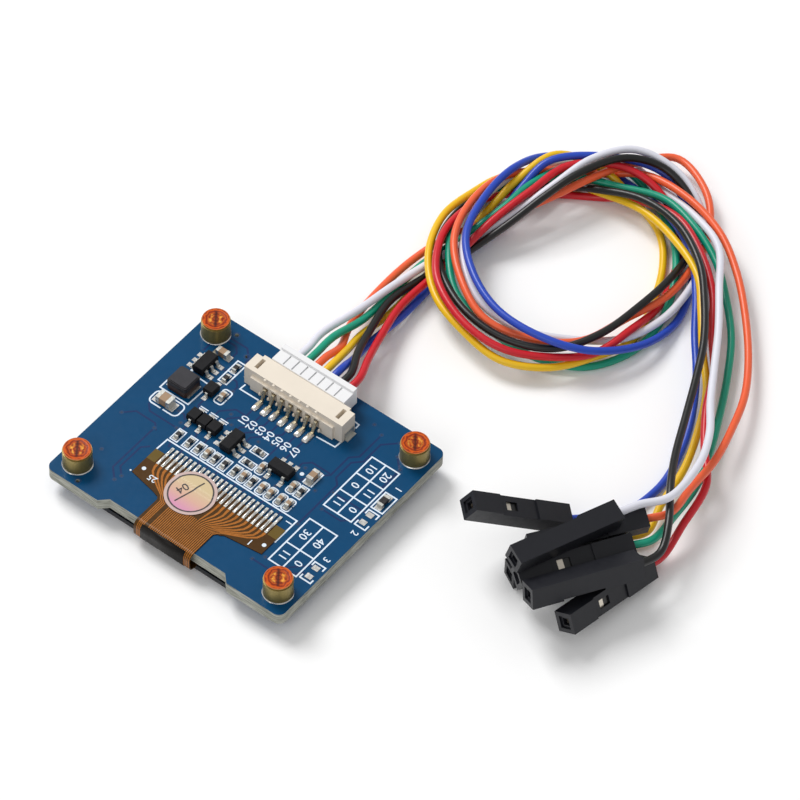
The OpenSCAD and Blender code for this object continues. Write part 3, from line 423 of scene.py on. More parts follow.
def ribbon(points, width, verts, faces, z):
    """Adds a flat strip of one width along a line, mitred at its bends; crossing strips lie at
    slightly different heights."""
    closed = points[0] == points[-1]
    line = [Vector(p) for p in (points[:-1] if closed else points)]
    n = len(line)
    k = len(verts)
    lift = z + LAYER * (k % 11)
    for i, p in enumerate(line):
        before = line[i - 1] if closed or i else None
        after = line[(i + 1) % n] if closed or i < n - 1 else None
        way_in = (p - before).normalized() if before is not None else (after - p).normalized()
        way_out = (after - p).normalized() if after is not None else way_in
        mitre = Vector((-(way_in + way_out).y, (way_in + way_out).x)).normalized()
        reach = width / 2 / max(0.4, mitre.dot(Vector((-way_in.y, way_in.x))))
        overrun = Vector((0, 0)) if closed or 0 < i < n - 1 else way_in * (width / 2 * (1 if i else -1))
        for s in (-1, 1):
            q = p + mitre * (reach * s) + overrun
            verts.append((q.x, q.y, lift))
    for i in range(n if closed else n - 1):
        a, b = k + 2 * i, k + 2 * ((i + 1) % n)
        faces.append((a, b, b + 1, a + 1))


# The long row of small parts beside the flex cable: X of each, and whether it is a resistor.
ROW = ((-8.34, True), (-6.61, True), (-5.25, True), (-3.98, False), (-2.81, True), (-1.45, True),
       (0.09, True), (1.34, False), (2.6, True), (4.04, False), (5.29, False), (6.72, False), (7.89, False))
TRACKS = [
    [(-13.3, 13), (-10.4, 13), (-9.2, 11.8), (-9.2, 11.2)],
    [(-13.1, 11.9), (-13.1, 12.4), (-11.6, 12.4), (-10.9, 11.7), (-10.9, 11)],
    [(-14.2, 9.6), (-14.2, 11.4), (-13.6, 12)], [(-10.4, 8.7), (-9.9, 9.2), (-9.4, 9.2)],
    [(-8.9, 8.3), (-8.2, 8.3), (-7.6, 7.7), (-7.6, 6.4), (-8.2, 5.8)], [(-9.4, 3.9), (-9.4, 2.8), (-8.6, 2)],
    [(-12.5, 2.2), (-12.5, 1.4)], [(-10.6, 0.7), (-9.8, 0.7), (-9.3, 0.2)],
    [(-7, 2.6), (-7, 3.6), (-5.6, 5), (-4.1, 5), (-4.1, 6.2)],
    [(-5.5, 2.6), (-5.5, 3.4), (-4.6, 4.3), (-3.2, 4.3), (-2.8, 4.7), (-2.8, 6.2)],
    [(-8.5, -0.4), (-8.5, -1.4)], [(-7, -0.4), (-6.7, -0.9), (-6.7, -1.4)],
    [(-5.5, -0.4), (-5.3, -0.8), (-5.3, -1.4)],
    [(-3.6, 2.2), (-3.6, 3.2), (-2.2, 4.6), (-1.6, 5.2), (-1.6, 6.2)],
    [(-2.6, 2.2), (-2.6, 3), (-1.2, 4.4), (-0.4, 5.2), (-0.4, 6.2)],
    [(-1.7, 2.2), (-1.7, 2.8), (0.2, 4.7), (0.9, 5.4), (0.9, 6.2)],
    [(1.1, 1.7), (1.6, 2.2), (1.6, 4.2), (2.2, 4.8), (2.2, 6.2)], [(1.1, -0.3), (1.9, 0.5), (2.2, 0.5)],
    [(3.4, 2.6), (3.4, 6.2)], [(5.3, 2.6), (5.3, 3.6), (6.1, 4.4), (8.6, 4.4)],
    [(6.7, 0.8), (6.7, 1.8), (7.3, 2.4)], [(8, 3.4), (8.9, 4.3), (8.9, 7.6), (9.8, 8.5), (9.8, 12.6)],
    [(10.4, -3.6), (10.4, 3.6), (9.6, 4.4), (9.6, 7.2), (10.6, 8.2), (10.6, 11.4), (12.2, 13)],
    [(15.2, 6), (14.6, 6.6), (14.6, 9.8), (13.2, 11.2)], [(15.3, -7.3), (13, -9.6), (10.5, -9.6)],
    [(15.3, -8.6), (13.2, -10.7), (9.5, -10.7)], [(15.3, 2.5), (10.7, 2.5)],
    [(15.3, 1.2), (13.9, -0.2), (11.2, -0.2)], [(-9.9, -5.5), (-10.6, -6.2), (-10.6, -9.8), (-9.6, -10.8)],
    [(-11.2, -3), (-11.2, -10.4), (-9.9, -11.7)],
    [(-15.6, -3.6), (-14.4, -2.4), (-11.6, -2.4), (-10.9, -3.1)], [(-14, -0.6), (-13.2, -1.4), (-9.2, -1.4)],
] + [[(x, -2.9), (x, -3.6), (x * 0.97 - 0.05, -4.1)] for x, resistor in ROW]
verts, faces = [], []
for line in TRACKS:
    ribbon(line, TRACK_W, verts, faces, TRACK_Z)
track_mat = skinned("track_mask", srgb(14, 46, 94), 0.24, size=1600, mottle=0.12, uneven=0.1,
                    relief=0.08, specular=0.3)
make("tracks", verts, faces, track_mat)


def disc(x, y, radius, z, verts, faces, inner=0.0, sides=24):
    """Adds a flat disc, or a ring when it has an inner radius."""
    k = len(verts)
    for r in (radius, inner) if inner else (radius,):
        for i in range(sides):
            a = math.tau * i / sides
            verts.append((x + r * math.cos(a), y + r * math.sin(a), z))
    if inner:
        band(faces, k, k + sides, sides)
    else:
        faces.append(tuple(range(k, k + sides)))


verts, faces = [], []
for x, y in [(-13, -14.5), (-12.6, 13.8), (-9.6, 12)]:
    disc(x, y, 0.46, RING_Z, verts, faces, inner=0.25)
VIAS = [(-9.3, -0.5), (-11.2, -3), (-9.2, -1.4), (-4.6, 2.9), (-0.6, 2.9), (0.9, 3.6), (3.1, -1),
        (8.9, 1.4), (10.4, -3.6), (10.7, 2.5), (11.2, -0.2), (9.8, 12.6), (12.2, 13), (13.2, 11.2),
        (10.5, -9.6), (9.5, -10.7), (-15.6, -3.6), (-9.9, -11.7), (-9.6, -10.8), (-7.6, 6.9),
        (-10.6, 0.7), (5, -0.9), (6, 3.3), (-13.9, -9.2), (14.6, 9.9), (8.2, 13.3), (-5.6, 4.1)]
for x, y in VIAS:
    disc(x, y, 0.3, LAND_Z, verts, faces, inner=0.1, sides=16)
make("via_lands", verts, faces, skinned("via_mask", srgb(16, 62, 104), 0.28, size=2400, mottle=0.2,
                                        specular=0.3))
verts, faces = [], []
for x, y in VIAS:
    disc(x, y, 0.11, DIMPLE_Z, verts, faces, sides=12)
make("via_dimples", verts, faces, skinned("via_dark", srgb(10, 26, 50), 0.5, size=3000, mottle=0.2))


# ---- Display stack ----
# Two sheets of glass with a polariser on the front one, stuck under the board by black foam.
# The face that lies on the table is dark and glossy; only the edges show round the board.


def mould(node, label, colour, roughness, *look):
    """Gives a CAD node a moulded finish; look is its skin's size, mottle, unevenness and relief."""
    dress(node, skinned(label, colour, roughness, *look))


mould("display_glass", "panel_glass", srgb(18, 22, 28), 0.08, 700, 0.1, 0.05, 0.02)
mould("cover_glass", "cover_glass", srgb(170, 178, 176), 0.12, 900, 0.2, 0.08, 0.05)
mould("polariser", "polariser_film", srgb(26, 28, 34), 0.2, 1200, 0.08, 0.08, 0.06)
mould("foam_pad", "foam_tape", srgb(40, 38, 37), 0.9, 6000, 0.3, 0.1, 0.9)


# ---- Flex cable ----
# A thin amber polyimide cable with copper lines, folded round the board's notch and soldered
# to its pads by 25 fingers. A strip of black tape protects the fold.

FLEX_TOP, FOLD_Y, FOLD_R, LEDGE_Z = 3.62, -14.25, 0.9, 0.9
FINGER_X0, FINGER_PITCH, FINGERS = -7.45, 0.66, 25
HEAD_X, BARE_FROM_X, BARE_FROM_Y = 0.42, 8.28, -7.0


def place(nodes, links, x=0.0, y=0.0):
    """Object coordinates as a vector, then their X, Y and Z from a point in millimetres."""
    at = nodes.new("ShaderNodeTexCoord").outputs["Object"]
    moved = nodes.new("ShaderNodeMapping")
    moved.inputs["Location"].default_value = (-x * MM, -y * MM, 0)
    links.new(at, moved.inputs["Vector"])
    split = nodes.new("ShaderNodeSeparateXYZ")
    links.new(moved.outputs["Vector"], split.inputs[0])
    return (at, *split.outputs)


# The film is dark amber, but olive at the two ends of the head, where it has no lines.
flex_mat, fn, fl, fshader = finish("flex_film", srgb(96, 58, 24), 0.3, specular=0.18,
                                   Coat_Weight=0.1, Coat_Roughness=0.15)
film = skin(fn, fl, fshader, srgb(74, 46, 5), 0.26, 1400.0, 0.2, 0.2, 0.25)
flex_x, flex_y = place(fn, fl, HEAD_X)[1:3]
calc = calculator(fn, fl)
ends = calc("MULTIPLY", calc("GREATER_THAN", calc("ABSOLUTE", flex_x), BARE_FROM_X * MM),
            calc("GREATER_THAN", flex_y, BARE_FROM_Y * MM))
fl.new(blend(fn, fl, ends, film["Colour"], srgb(104, 84, 34)), fshader.inputs["Base Color"])
dress("flex_cable", flex_mat)


def round_fold(x, lift, steps=7):
    """Points down over the outside of the fold at one x, from its top to the ledge."""
    r = FOLD_R + lift
    turn = [math.pi / 2 * i / steps for i in range(steps + 1)]
    return [(x, FOLD_Y - r * math.sin(a), FLEX_TOP - FOLD_R + r * math.cos(a)) for a in turn] + [
        (x, FOLD_Y - r * math.cos(a), LEDGE_Z + FOLD_R - r * math.sin(a)) for a in turn]


def strip(line, widths, verts, faces):
    """Adds a band of quads along a line in space, with a width at each of its points."""
    k = len(verts)
    for i, (p, w) in enumerate(zip(line, widths)):
        a, b = line[max(i - 1, 0)], line[min(i + 1, len(line) - 1)]
        dx, dy = b[0] - a[0], b[1] - a[1]
        run = math.hypot(dx, dy)
        ux, uy = w / 2, 0
        if run > 1e-6 and abs(b[2] - a[2]) <= 0.05:
            ux, uy = -dy / run * w / 2, dx / run * w / 2
        verts += [(p[0] - ux, p[1] - uy, p[2]), (p[0] + ux, p[1] + uy, p[2])]
        if i:
            faces.append((k + 2 * i - 2, k + 2 * i, k + 2 * i + 1, k + 2 * i - 1))


# The first four lines run to the neck's left edge, the rest leave a dark gap beside them. Five
# more lines join them under the sticker, so that the neck is full.
NECK_LEFT = [-3.78 + 0.22 * i for i in range(4)]
NECK_RIGHT = [-2.4 + 0.25 * i for i in range(26)]
JOINING = range(10, 15)
NECK = NECK_LEFT + [x for i, x in enumerate(NECK_RIGHT) if i not in JOINING]
HEAD_WIDTHS, NECK_WIDTH = [0.34, 0.3, 0.26, 0.22, 0.19], 0.12
# Each stop on the way to the neck: Y, how far over it is, and how much of the sway it has.
STOPS = ((-6.95, 0, 0), (-7.5, 0.01, 0), (-8.1, 0.07, 1), (-8.8, 0.26, 1), (-9.5, 0.55, 0), (-10.2, 0.86, 0))
lines = []
for i in range(FINGERS):
    finger_x = FINGER_X0 + i * FINGER_PITCH
    sway = 0.1 * math.sin(i * 0.9)
    lines.append((NECK[i], HEAD_WIDTHS, [
        (finger_x * (1 - over) + NECK[i] * over + sway * part, y) for y, over, part in STOPS]))
for i in JOINING:
    lines.append((NECK_RIGHT[i], [0.1], [(NECK_RIGHT[i], -10.3)]))
verts, faces = [], []
for neck_x, widths, start in lines:
    neck = [(neck_x, -10.9), (neck_x, -12.4), (neck_x, FOLD_Y + 0.02)]
    line = [(x, y, FLEX_TOP + 0.006) for x, y in start + neck] + round_fold(neck_x, 0.004)
    strip(line, widths + [NECK_WIDTH] * (len(line) - len(widths)), verts, faces)
copper_mat = skinned("flex_copper", srgb(164, 98, 28), 0.32, size=2200, mottle=0.3, uneven=0.3,
                     relief=0.25, Metallic=0.25, specular=0.3)
make("flex_lines", verts, faces, copper_mat)

TAPE_W, TAPE_T = 6.3, 0.05
verts, faces = [], []
line = round_fold(-0.1, 0.008)[2:]
for i, (x, y, z) in enumerate(line):
    a, b = line[max(i - 1, 0)], line[min(i + 1, len(line) - 1)]
    run = math.hypot(b[1] - a[1], b[2] - a[2])
    out_y, out_z = TAPE_T * (b[2] - a[2]) / run, TAPE_T * (a[1] - b[1]) / run
    verts += [(x - TAPE_W / 2, y, z), (x + TAPE_W / 2, y, z),
              (x + TAPE_W / 2, y + out_y, z + out_z), (x - TAPE_W / 2, y + out_y, z + out_z)]
    if i:
        band(faces, 4 * i - 4, 4 * i, 4)
faces += [(0, 3, 2, 1), tuple(len(verts) - 4 + i for i in range(4))]
tape = make("fold_wrap", verts, faces, skinned(
    "black_tape", srgb(18, 14, 11), 0.4, size=1300, mottle=0.2, uneven=0.2, relief=0.4,
    specular=0.2), smooth=True)
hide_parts("fold_tape")


def chance(nodes, links, given, amount, base, reach):
    """A random vector for each copy, an amount either way of its base along the axes in reach."""
    draw = nodes.new("FunctionNodeRandomValue")
    draw.data_type = "FLOAT_VECTOR"
    for i, sign in enumerate((-1, 1)):
        end = nodes.new("ShaderNodeVectorMath")
        end.operation = "MULTIPLY_ADD"
        end.inputs[0].default_value = [sign * c for c in reach]
        links.new(given["Amount " + amount], end.inputs[1])
        end.inputs[2].default_value = base
        links.new(end.outputs[0], draw.inputs[i])
    links.new(given["Seed"], draw.inputs["Seed"])
    return draw.outputs[0]


# One tree lays every row of small shapes: a line of points, each moved and each copy stretched
# a little by chance, then made real and given its finish.
row_tree, row_in, row_out = new_group("bead_row", [
    ("Shape", "Geometry"), ("Count", "Int"), ("Start", "Vector"), ("Step", "Vector"), ("Seed", "Int"),
    ("Amount of shift", "Float"), ("Amount of stretch", "Float"), ("Finish", "Material")],
    [("Row", "Geometry")], "GeometryNodeTree")
rn, rl, given = row_tree.nodes, row_tree.links, row_in.outputs
stations = rn.new("GeometryNodeMeshLine")
stations.mode = "OFFSET"
for key, socket in (("Count", "Count"), ("Start", "Start Location"), ("Step", "Offset")):
    rl.new(given[key], stations.inputs[socket])
shift = rn.new("GeometryNodeSetPosition")
rl.new(stations.outputs[0], shift.inputs["Geometry"])
rl.new(chance(rn, rl, given, "of shift", (0, 0, 0), (1, 1, 0)), shift.inputs["Offset"])
copies = rn.new("GeometryNodeInstanceOnPoints")
rl.new(shift.outputs[0], copies.inputs["Points"])
rl.new(given["Shape"], copies.inputs["Instance"])
rl.new(chance(rn, rl, given, "of stretch", (1, 1, 1), (1, 1, 1)), copies.inputs["Scale"])
real = rn.new("GeometryNodeRealizeInstances")
rl.new(copies.outputs[0], real.inputs[0])
coat = rn.new("GeometryNodeSetMaterial")
rl.new(real.outputs[0], coat.inputs["Geometry"])
rl.new(given["Finish"], coat.inputs["Material"])
rl.new(coat.outputs[0], row_out.inputs[0])


def final_mesh(obj):
    """A plain mesh of what an object's modifiers or text come to."""
    bpy.context.view_layer.update()
    return bpy.data.meshes.new_from_object(obj.evaluated_get(bpy.context.evaluated_depsgraph_get()))


def repeat(name, shape, count, start, step, mat, seed, shift=0.0, stretch=0.0):
    """Copies of one small shape in a row along X, by Geometry Nodes, baked to a plain mesh."""
    obj = lay(name, *shape, True)
    row = obj.modifiers.new("row", "NODES")
    row.node_group = row_tree
    values = {"Count": count, "Start": tuple(c * MM for c in start), "Step": (step * MM, 0.0, 0.0),
              "Amount of shift": shift * MM, "Amount of stretch": stretch, "Seed": seed, "Finish": mat}
    for socket in row_tree.interface.items_tree:
        if socket.name in values:
            row[socket.identifier] = values[socket.name]
    solid = final_mesh(obj)
    obj.modifiers.clear()
    obj.data = solid
    if not solid.materials:
        solid.materials.append(mat)
    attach(obj, "root")


def bead(length, width, height, rings=5, sides=14, power=2.4):
    """A low closed dome with a rounded rectangular foot, long side along Y, foot at z = 0."""
    verts, faces = [], []
    for i in range(rings):
        t = i / rings
        s = math.sqrt(1 - t * t)
        for j in range(sides):
            a = math.tau * j / sides
            c, d = math.cos(a), math.sin(a)
            verts.append((math.copysign(abs(c) ** (2 / power), c) * width / 2 * s,
                          math.copysign(abs(d) ** (2 / power), d) * length / 2 * s, height * t))
        if i:
            band(faces, (i - 1) * sides, i * sides, sides)
    verts.append((0, 0, height))
    last = (rings - 1) * sides
    for j in range(sides):
        faces.append((last + j, last + (j + 1) % sides, rings * sides))
    faces.append(tuple(range(sides))[::-1])
    return verts, faces


# The soldered fingers: bare tinned copper, each under its own uneven bead.
solder_mat = skinned("solder", srgb(214, 212, 208), 0.24, size=2600, mottle=0.22, uneven=0.35, relief=0.55,
                     Metallic=0.8)
tin_mat = skinned("tinned", srgb(196, 196, 190), 0.34, size=3200, mottle=0.25, uneven=0.35, relief=0.5,
                  Metallic=0.75)
dress("flex_fingers", tin_mat)
repeat("finger_beads", bead(1.5, 0.31, 0.1), FINGERS, (FINGER_X0, -6.1, 3.7), FINGER_PITCH,
       solder_mat, shift=0.04, stretch=0.16, seed=3)
repeat("finger_toes", bead(0.9, 0.33, 0.12), FINGERS, (FINGER_X0, -4.72, 3.66), FINGER_PITCH,
       solder_mat, shift=0.05, stretch=0.22, seed=8)


# ---- Round sticker ----
# A printed paper label on the flex cable's head: a fine black ring and a bar on a blush of
# pink and cream. It is stuck on by hand and rides up over the ends of the fingers.

SEAL_X, SEAL_Y, SEAL_R, SEAL_Z = -1.72, -7.97, 3.08, 3.665
HOOP_R, BAR_OFFSET, BAR_HALF, LINE_HALF = 2.62, -0.2, 2.1, 0.1
BAR_TURN = math.radians(-106)
RISE_Y, RISE_OVER, RISE = -7.5, 0.7, 0.17


def spin(calc, x, y, turn):
    """How far a place is from the centre, then how far along a direction and how far aside from it."""
    c, s = math.cos(turn), math.sin(turn)
    return (calc("SQRT", calc("ADD", calc("MULTIPLY", x, x), calc("MULTIPLY", y, y))),
            calc("ADD", calc("MULTIPLY", x, c), calc("MULTIPLY", y, s)),
            calc("SUBTRACT", calc("MULTIPLY", y, c), calc("MULTIPLY", x, s)))


seal_mat, ln, ll, lshader = finish("label_print", srgb(232, 205, 205), 0.42)
at, seal_x, seal_y = place(ln, ll, SEAL_X, SEAL_Y)[:3]
calc = calculator(ln, ll)
radius, along, aside = spin(calc, seal_x, seal_y, BAR_TURN)
bar = calc("MULTIPLY", calc("COMPARE", aside, BAR_OFFSET * MM, LINE_HALF * MM),
           calc("LESS_THAN", calc("ABSOLUTE", along), BAR_HALF * MM))
lines = calc("MAXIMUM", calc("COMPARE", radius, HOOP_R * MM, LINE_HALF * MM), bar)
blush = ramp(ln, ll, calc("MULTIPLY_ADD", seal_y, 190.0, 0.5, clamp=True),
             (0.08, srgb(210, 142, 172)), (0.72, srgb(208, 186, 142)), (0.36, srgb(212, 166, 146)))
printed = blend(ln, ll, calc("LESS_THAN", radius, HOOP_R * MM), srgb(198, 172, 166), blush)
fibres = noise(ln, ll, at, 2600)
worn = calc("MULTIPLY", lines, calc("MULTIPLY_ADD", fibres, 0.4, 0.76, clamp=True))
ll.new(blend(ln, ll, worn, printed, srgb(34, 24, 26)), lshader.inputs["Base Color"])
ll.new(bump(ln, ll, fibres, 0.00001, 0.3), lshader.inputs["Normal"])


def seal_height(y):
    """How high the label lies at y: flat on the film, then up over the beads."""
    t = min(1, max(0, (y - RISE_Y) / RISE_OVER))
    return SEAL_Z + RISE * t * t * (3 - 2 * t)


SPOKES, HOOPS, PAPER = 64, 12, 0.05
verts, faces = [], []
for lift in (0, PAPER):
    verts.append((SEAL_X, SEAL_Y, seal_height(SEAL_Y) + lift))
    for h in range(1, HOOPS + 1):
        for i in range(SPOKES):
            a, r = math.tau * i / SPOKES, SEAL_R * h / HOOPS
            x, y = SEAL_X + r * math.cos(a), SEAL_Y + r * math.sin(a)
            verts.append((x, y, seal_height(y) + lift))
top_at = 1 + HOOPS * SPOKES
for i in range(SPOKES):
    j = (i + 1) % SPOKES
    faces += [(0, 1 + j, 1 + i), (top_at, top_at + 1 + i, top_at + 1 + j)]
for a in range(1, top_at - SPOKES, SPOKES):
    band(faces, a, a + SPOKES, SPOKES)
    band(faces, top_at + a + SPOKES, top_at + a, SPOKES)
band(faces, top_at - SPOKES, 2 * top_at - SPOKES, SPOKES)
seal = make("round_label", verts, faces, seal_mat)
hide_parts("sticker")


# ---- Standoffs and pick-up dots ----
# Four tapped brass standoffs soldered into the board. Each keeps the amber film dot that the assembly machine
# lifts it by, so the thread below shows only as rings through the film; these rings, the dark hole and its
# glints are painted on the film as painted light, shade and highlights.

brass_mat, zn, zl, zshader = finish("plated_brass", srgb(150, 134, 80), 0.38, Metallic=0.7)
turned = zn.new("ShaderNodeTexWave")
turned.wave_type = "BANDS"
turned.bands_direction = "Z"
for key, value in (("Scale", 2200), ("Distortion", 1.2), ("Detail", 2), ("Detail Scale", 3)):
    turned.inputs[key].default_value = value
zl.new(zn.new("ShaderNodeTexCoord").outputs["Object"], turned.inputs["Vector"])
zl.new(blend(zn, zl, turned.outputs["Fac"], srgb(132, 116, 66), srgb(166, 149, 92)),
       zshader.inputs["Base Color"])
zl.new(bump(zn, zl, turned.outputs["Fac"], 0.00001, 0.4), zshader.inputs["Normal"])
STANDOFFS = [(-14.7, -12.5), (14.7, -12.5), (-14.7, 12.5), (14.7, 12.5)]
BORE_R, THREAD_R, RIM_R = 1.05, 0.64, 1.55
# The painted shade band and painted highlights on the film dots lie along this turn about Z, the camera's
# own.
SHADE_BAND_TURN = math.radians(36.25)


def film_finish(name, x, y):
    """Amber film over a tapped hole: the thread's rings as painted light and shade, painted shade over the
    bore that is darkest along a band across it, two arcs of painted highlight beside that band, a paler rim.
    Slopes are per metre, so one of 3000 fades over a third of a millimetre."""
    mat, nodes, links, shader = finish(name, srgb(190, 76, 18), 0.26, specular=0.25,
                                       Coat_Weight=0.15, Coat_Roughness=0.1)
    at, dx, dy = place(nodes, links, x, y)[:3]
    calc = calculator(nodes, links)
    fog = noise(nodes, links, at, 1300, 3)
    r, side, along = spin(calc, dx, dy, SHADE_BAND_TURN)
    side = calc("ABSOLUTE", side)
    bore = calc("SUBTRACT", 1.0, calc("MULTIPLY", calc("SUBTRACT", r, BORE_R * MM), 3000), clamp=True)
    shade_band = calc("SUBTRACT", 1.2, calc("MULTIPLY", side, 4200), clamp=True)
    # Painted light and shade: the thread's rings as bright and dark bands.
    rings = calc("SINE", calc("MULTIPLY_ADD", fog, 12.0, calc("MULTIPLY", r, 15000)))
    colour = blend(nodes, links, calc("MULTIPLY_ADD", rings, 0.5, 0.5), srgb(138, 38, 0), srgb(214, 90, 4))
    # Painted shade: darker over the bore, and darkest along a band across it.
    colour = blend(nodes, links, calc("MULTIPLY", bore, 0.35), colour, srgb(104, 24, 0))
    shade = calc("MULTIPLY", calc("MULTIPLY", shade_band, bore), 0.85)
    colour = blend(nodes, links, shade, colour, srgb(56, 10, 4))
    # Painted highlight: two flecked arcs of glint on the thread, one each side of the painted shade band.
    sparkle = calc("MULTIPLY_ADD", noise(nodes, links, at, 2600), 6.0, -2.5, clamp=True)
    off_thread = calc("ABSOLUTE", calc("SUBTRACT", r, THREAD_R * MM))
    arcs = calc("SUBTRACT", 1.0, calc("MULTIPLY", off_thread, 2900), clamp=True)
    flank = calc("MULTIPLY_ADD", side, 5200, -1.1, clamp=True)
    glint = calc("MULTIPLY", calc("MULTIPLY", arcs, flank), sparkle)
    colour = blend(nodes, links, glint, colour, srgb(255, 176, 62))
    rim = calc("MULTIPLY", calc("GREATER_THAN", r, RIM_R * MM), 0.6)
    links.new(blend(nodes, links, rim, colour, srgb(216, 122, 56)), shader.inputs["Base Color"])
    sunk = calc("MULTIPLY_ADD", bore, -1.2, fog)
    links.new(bump(nodes, links, sunk, 0.00003, 0.5), shader.inputs["Normal"])
    return mat


# The solder round each foot climbs from a slightly uneven edge to the brass: radius and height.
FILLET, FILLET_SIDES = ((1.84, 0.0), (1.82, 0.02), (1.79, 0.04), (1.755, 0.1)), 48
verts, faces = [], []
for n, (x, y) in enumerate(STANDOFFS, 1):
    dress("standoff_%d" % n, brass_mat)
    dress("pickup_dot_%d" % n, film_finish("amber_film_%d" % n, x, y))
    for m, (r, z) in enumerate(FILLET):
        for i in range(FILLET_SIDES):
            a = math.tau * i / FILLET_SIDES
            wobble = 1 + (0.012 * math.sin(3 * a + n) + 0.01 * math.sin(7 * a)) * (r > 1.8)
            verts.append((x + r * wobble * math.cos(a), y + r * wobble * math.sin(a), TOP + 0.004 + z))
        if m:
            band(faces, len(verts) - 2 * FILLET_SIDES, len(verts) - FILLET_SIDES, FILLET_SIDES)
make("standoff_fillets", verts, faces, solder_mat, smooth=True)


# ---- Header and plug ----
# A cream side-entry header with seven gold-flashed pins, and the white crimp plug pushed
# into it from the board's edge. The pins turn down behind the header to their solder feet.

CREAM = srgb(231, 220, 204)
mould("header_housing", "cream_nylon", CREAM, 0.45, 1500, 0.06, 0.15, 0.2)
mould("plug_housing", "white_nylon", srgb(235, 235, 236), 0.42, 1500, 0.04, 0.15, 0.2)
dress("header_pins", skinned("gold_flash", srgb(204, 192, 164), 0.3, size=2400, mottle=0.2, uneven=0.3,
                             relief=0.3, Metallic=0.9))
dress("header_tabs", tin_mat)
dress("plug_terminals", tin_mat)
repeat("pin_fillets", bead(1.6, 0.86, 0.36, power=5), 7, (PLUG_X0 - 0.02, 6.9, TOP + 0.02), WAY, solder_mat,
       shift=0.03, stretch=0.12, seed=5)
cream_mat = skinned("cream_nylon_bumps", CREAM, 0.45, size=1500, mottle=0.06)
for name, width, length, height, count, at_x, at_y, at_z, seed in (
        ("header_bumps", 0.42, 0.34, 0.16, 7, PLUG_X0 - 0.2, 8.62, TOP + 2.94, 4),
        ("header_ridges", 0.34, 0.3, 0.5, 8, PLUG_X0 - WAY / 2, 8.14, TOP + 0.5, 6)):
    repeat(name, bead(length, width, height, rings=3, sides=10), count, (at_x, at_y, at_z), WAY, cream_mat,
           seed=seed)


# ---- Chips and small parts ----
# Moulded packages, ceramic capacitors, thick-film resistors and a wound choke, all soldered
# to the mask-free pads by machine, so every lead ends in a small bright fillet.

mould_mat = skinned("mould_compound", srgb(20, 20, 23), 0.62, size=6500, mottle=0.6, uneven=0.3, relief=0.9,
                    specular=0.2)
for node in ("boost_converter", "level_shifter", "regulator", "diode_1", "diode_2", "diode_3", "diode_4"):
    dress(node, mould_mat)
for node in ("package_leads", "diode_leads", "resistor_ends", "capacitor_ends"):
    dress(node, tin_mat)
mould("resistors", "resistor_glaze", srgb(30, 28, 30), 0.3, 3800, 0.3, 0.2, 0.3)
mould("capacitors", "capacitor_ceramic", srgb(158, 128, 98), 0.45, 3600, 0.14, 0.15, 0.25)
dress("solder_pads", solder_mat)

# The choke: grey ferrite on top, painted shade making it darker down its sides, and brown where the coil
# shows below.
CHOKE_WAIST_Z = 4.4
choke_mat, cn, cl, cshader = finish("ferrite", srgb(70, 68, 72), 0.42, specular=0.25)
ferrite = skin(cn, cl, cshader, srgb(48, 47, 52), 0.4, 4200.0, 0.34, 0.2, 0.5)
calc = calculator(cn, cl)
waist = calc("LESS_THAN", place(cn, cl)[3], CHOKE_WAIST_Z * MM)
# Painted shade: the side faces get a darker grey than the top.
ferrite_with_shaded_sides = blend(cn, cl, faces_up(cn, cl, calc), srgb(34, 33, 36), ferrite["Colour"])
cl.new(blend(cn, cl, waist, ferrite_with_shaded_sides, srgb(60, 40, 30)), cshader.inputs["Base Color"])
dress("inductor", choke_mat)


# ---- Silkscreen ----
# White ink printed on the mask: outlines round the parts, two tables and plain numbers beside
# the pads. The ink is thin, so the mask's blue shows through it a little.

INK_Z, BROAD, FINE = TOP + 0.012, 0.19, 0.16
BRACKET_R, BRACKET_GAP = 0.34, 0.3
FIGURE_EM, BOLDEN = 1.4, 0.012
verts, faces = [], []


def ink(*points, width=BROAD):
    """A printed line."""
    ribbon(list(points), width, verts, faces, INK_Z)


def box_ink(x0, y0, x1, y1, width=BROAD):
    """A printed rectangle."""
    ink((x0, y0), (x1, y0), (x1, y1), (x0, y1), (x0, y0), width=width)


def corner_arc(cx, cy, radius, start):
    """Points of a quarter turn about a centre, from an angle in quarter turns."""
    turns = [math.pi / 2 * (start + i / 4) for i in range(5)]
    return [(cx + radius * math.cos(a), cy + radius * math.sin(a)) for a in turns]


def bracket_ink(x, y, w, l, width=BROAD):
    """Two round-cornered brackets that face each other along Y."""
    r, near = BRACKET_R, BRACKET_GAP / 2
    for s, first in ((1, 0), (-1, 2)):
        far = y + s * (l / 2 - r)
        turns = corner_arc(x + s * (w / 2 - r), far, r, first) + corner_arc(
            x - s * (w / 2 - r), far, r, first + 1)
        ink((x + s * w / 2, y + s * near), *turns, (x - s * w / 2, y + s * near), width=width)


ink((-9.0, -5.17), (-8.92, -3.39), (10.07, -3.33), (10.02, -7.24))
TABLE_W = 3.98
for x, y0, y1, rules in ((10.95, 0.41, 9.37, (6.4, 3.38)), (10.97, -9.6, -2.14, (-6.4,))):
    box_ink(x, y0, x + TABLE_W, y1)
    ink((12.95, y0), (12.95, y1))
    for y in rules:
        ink((x, y), (x + TABLE_W, y))
ink((-7.12, 8.52), (-7.19, 7.69), (-4.53, 7.72))
ink((4.2, 7.7), (6.72, 7.84), (6.8, 8.67))
ink((6.04, 12.24), (6.85, 12.14), (6.86, 11.57))
ink((-14.57, 3.74), (-14.57, 2.09), (-10.39, 2.11), (-10.32, 4.76))
ink((-11.92, 5.98), (-10.68, 5.93))
ink((-14.57, 4.6), (-14.57, 5.9), (-13.4, 5.9))
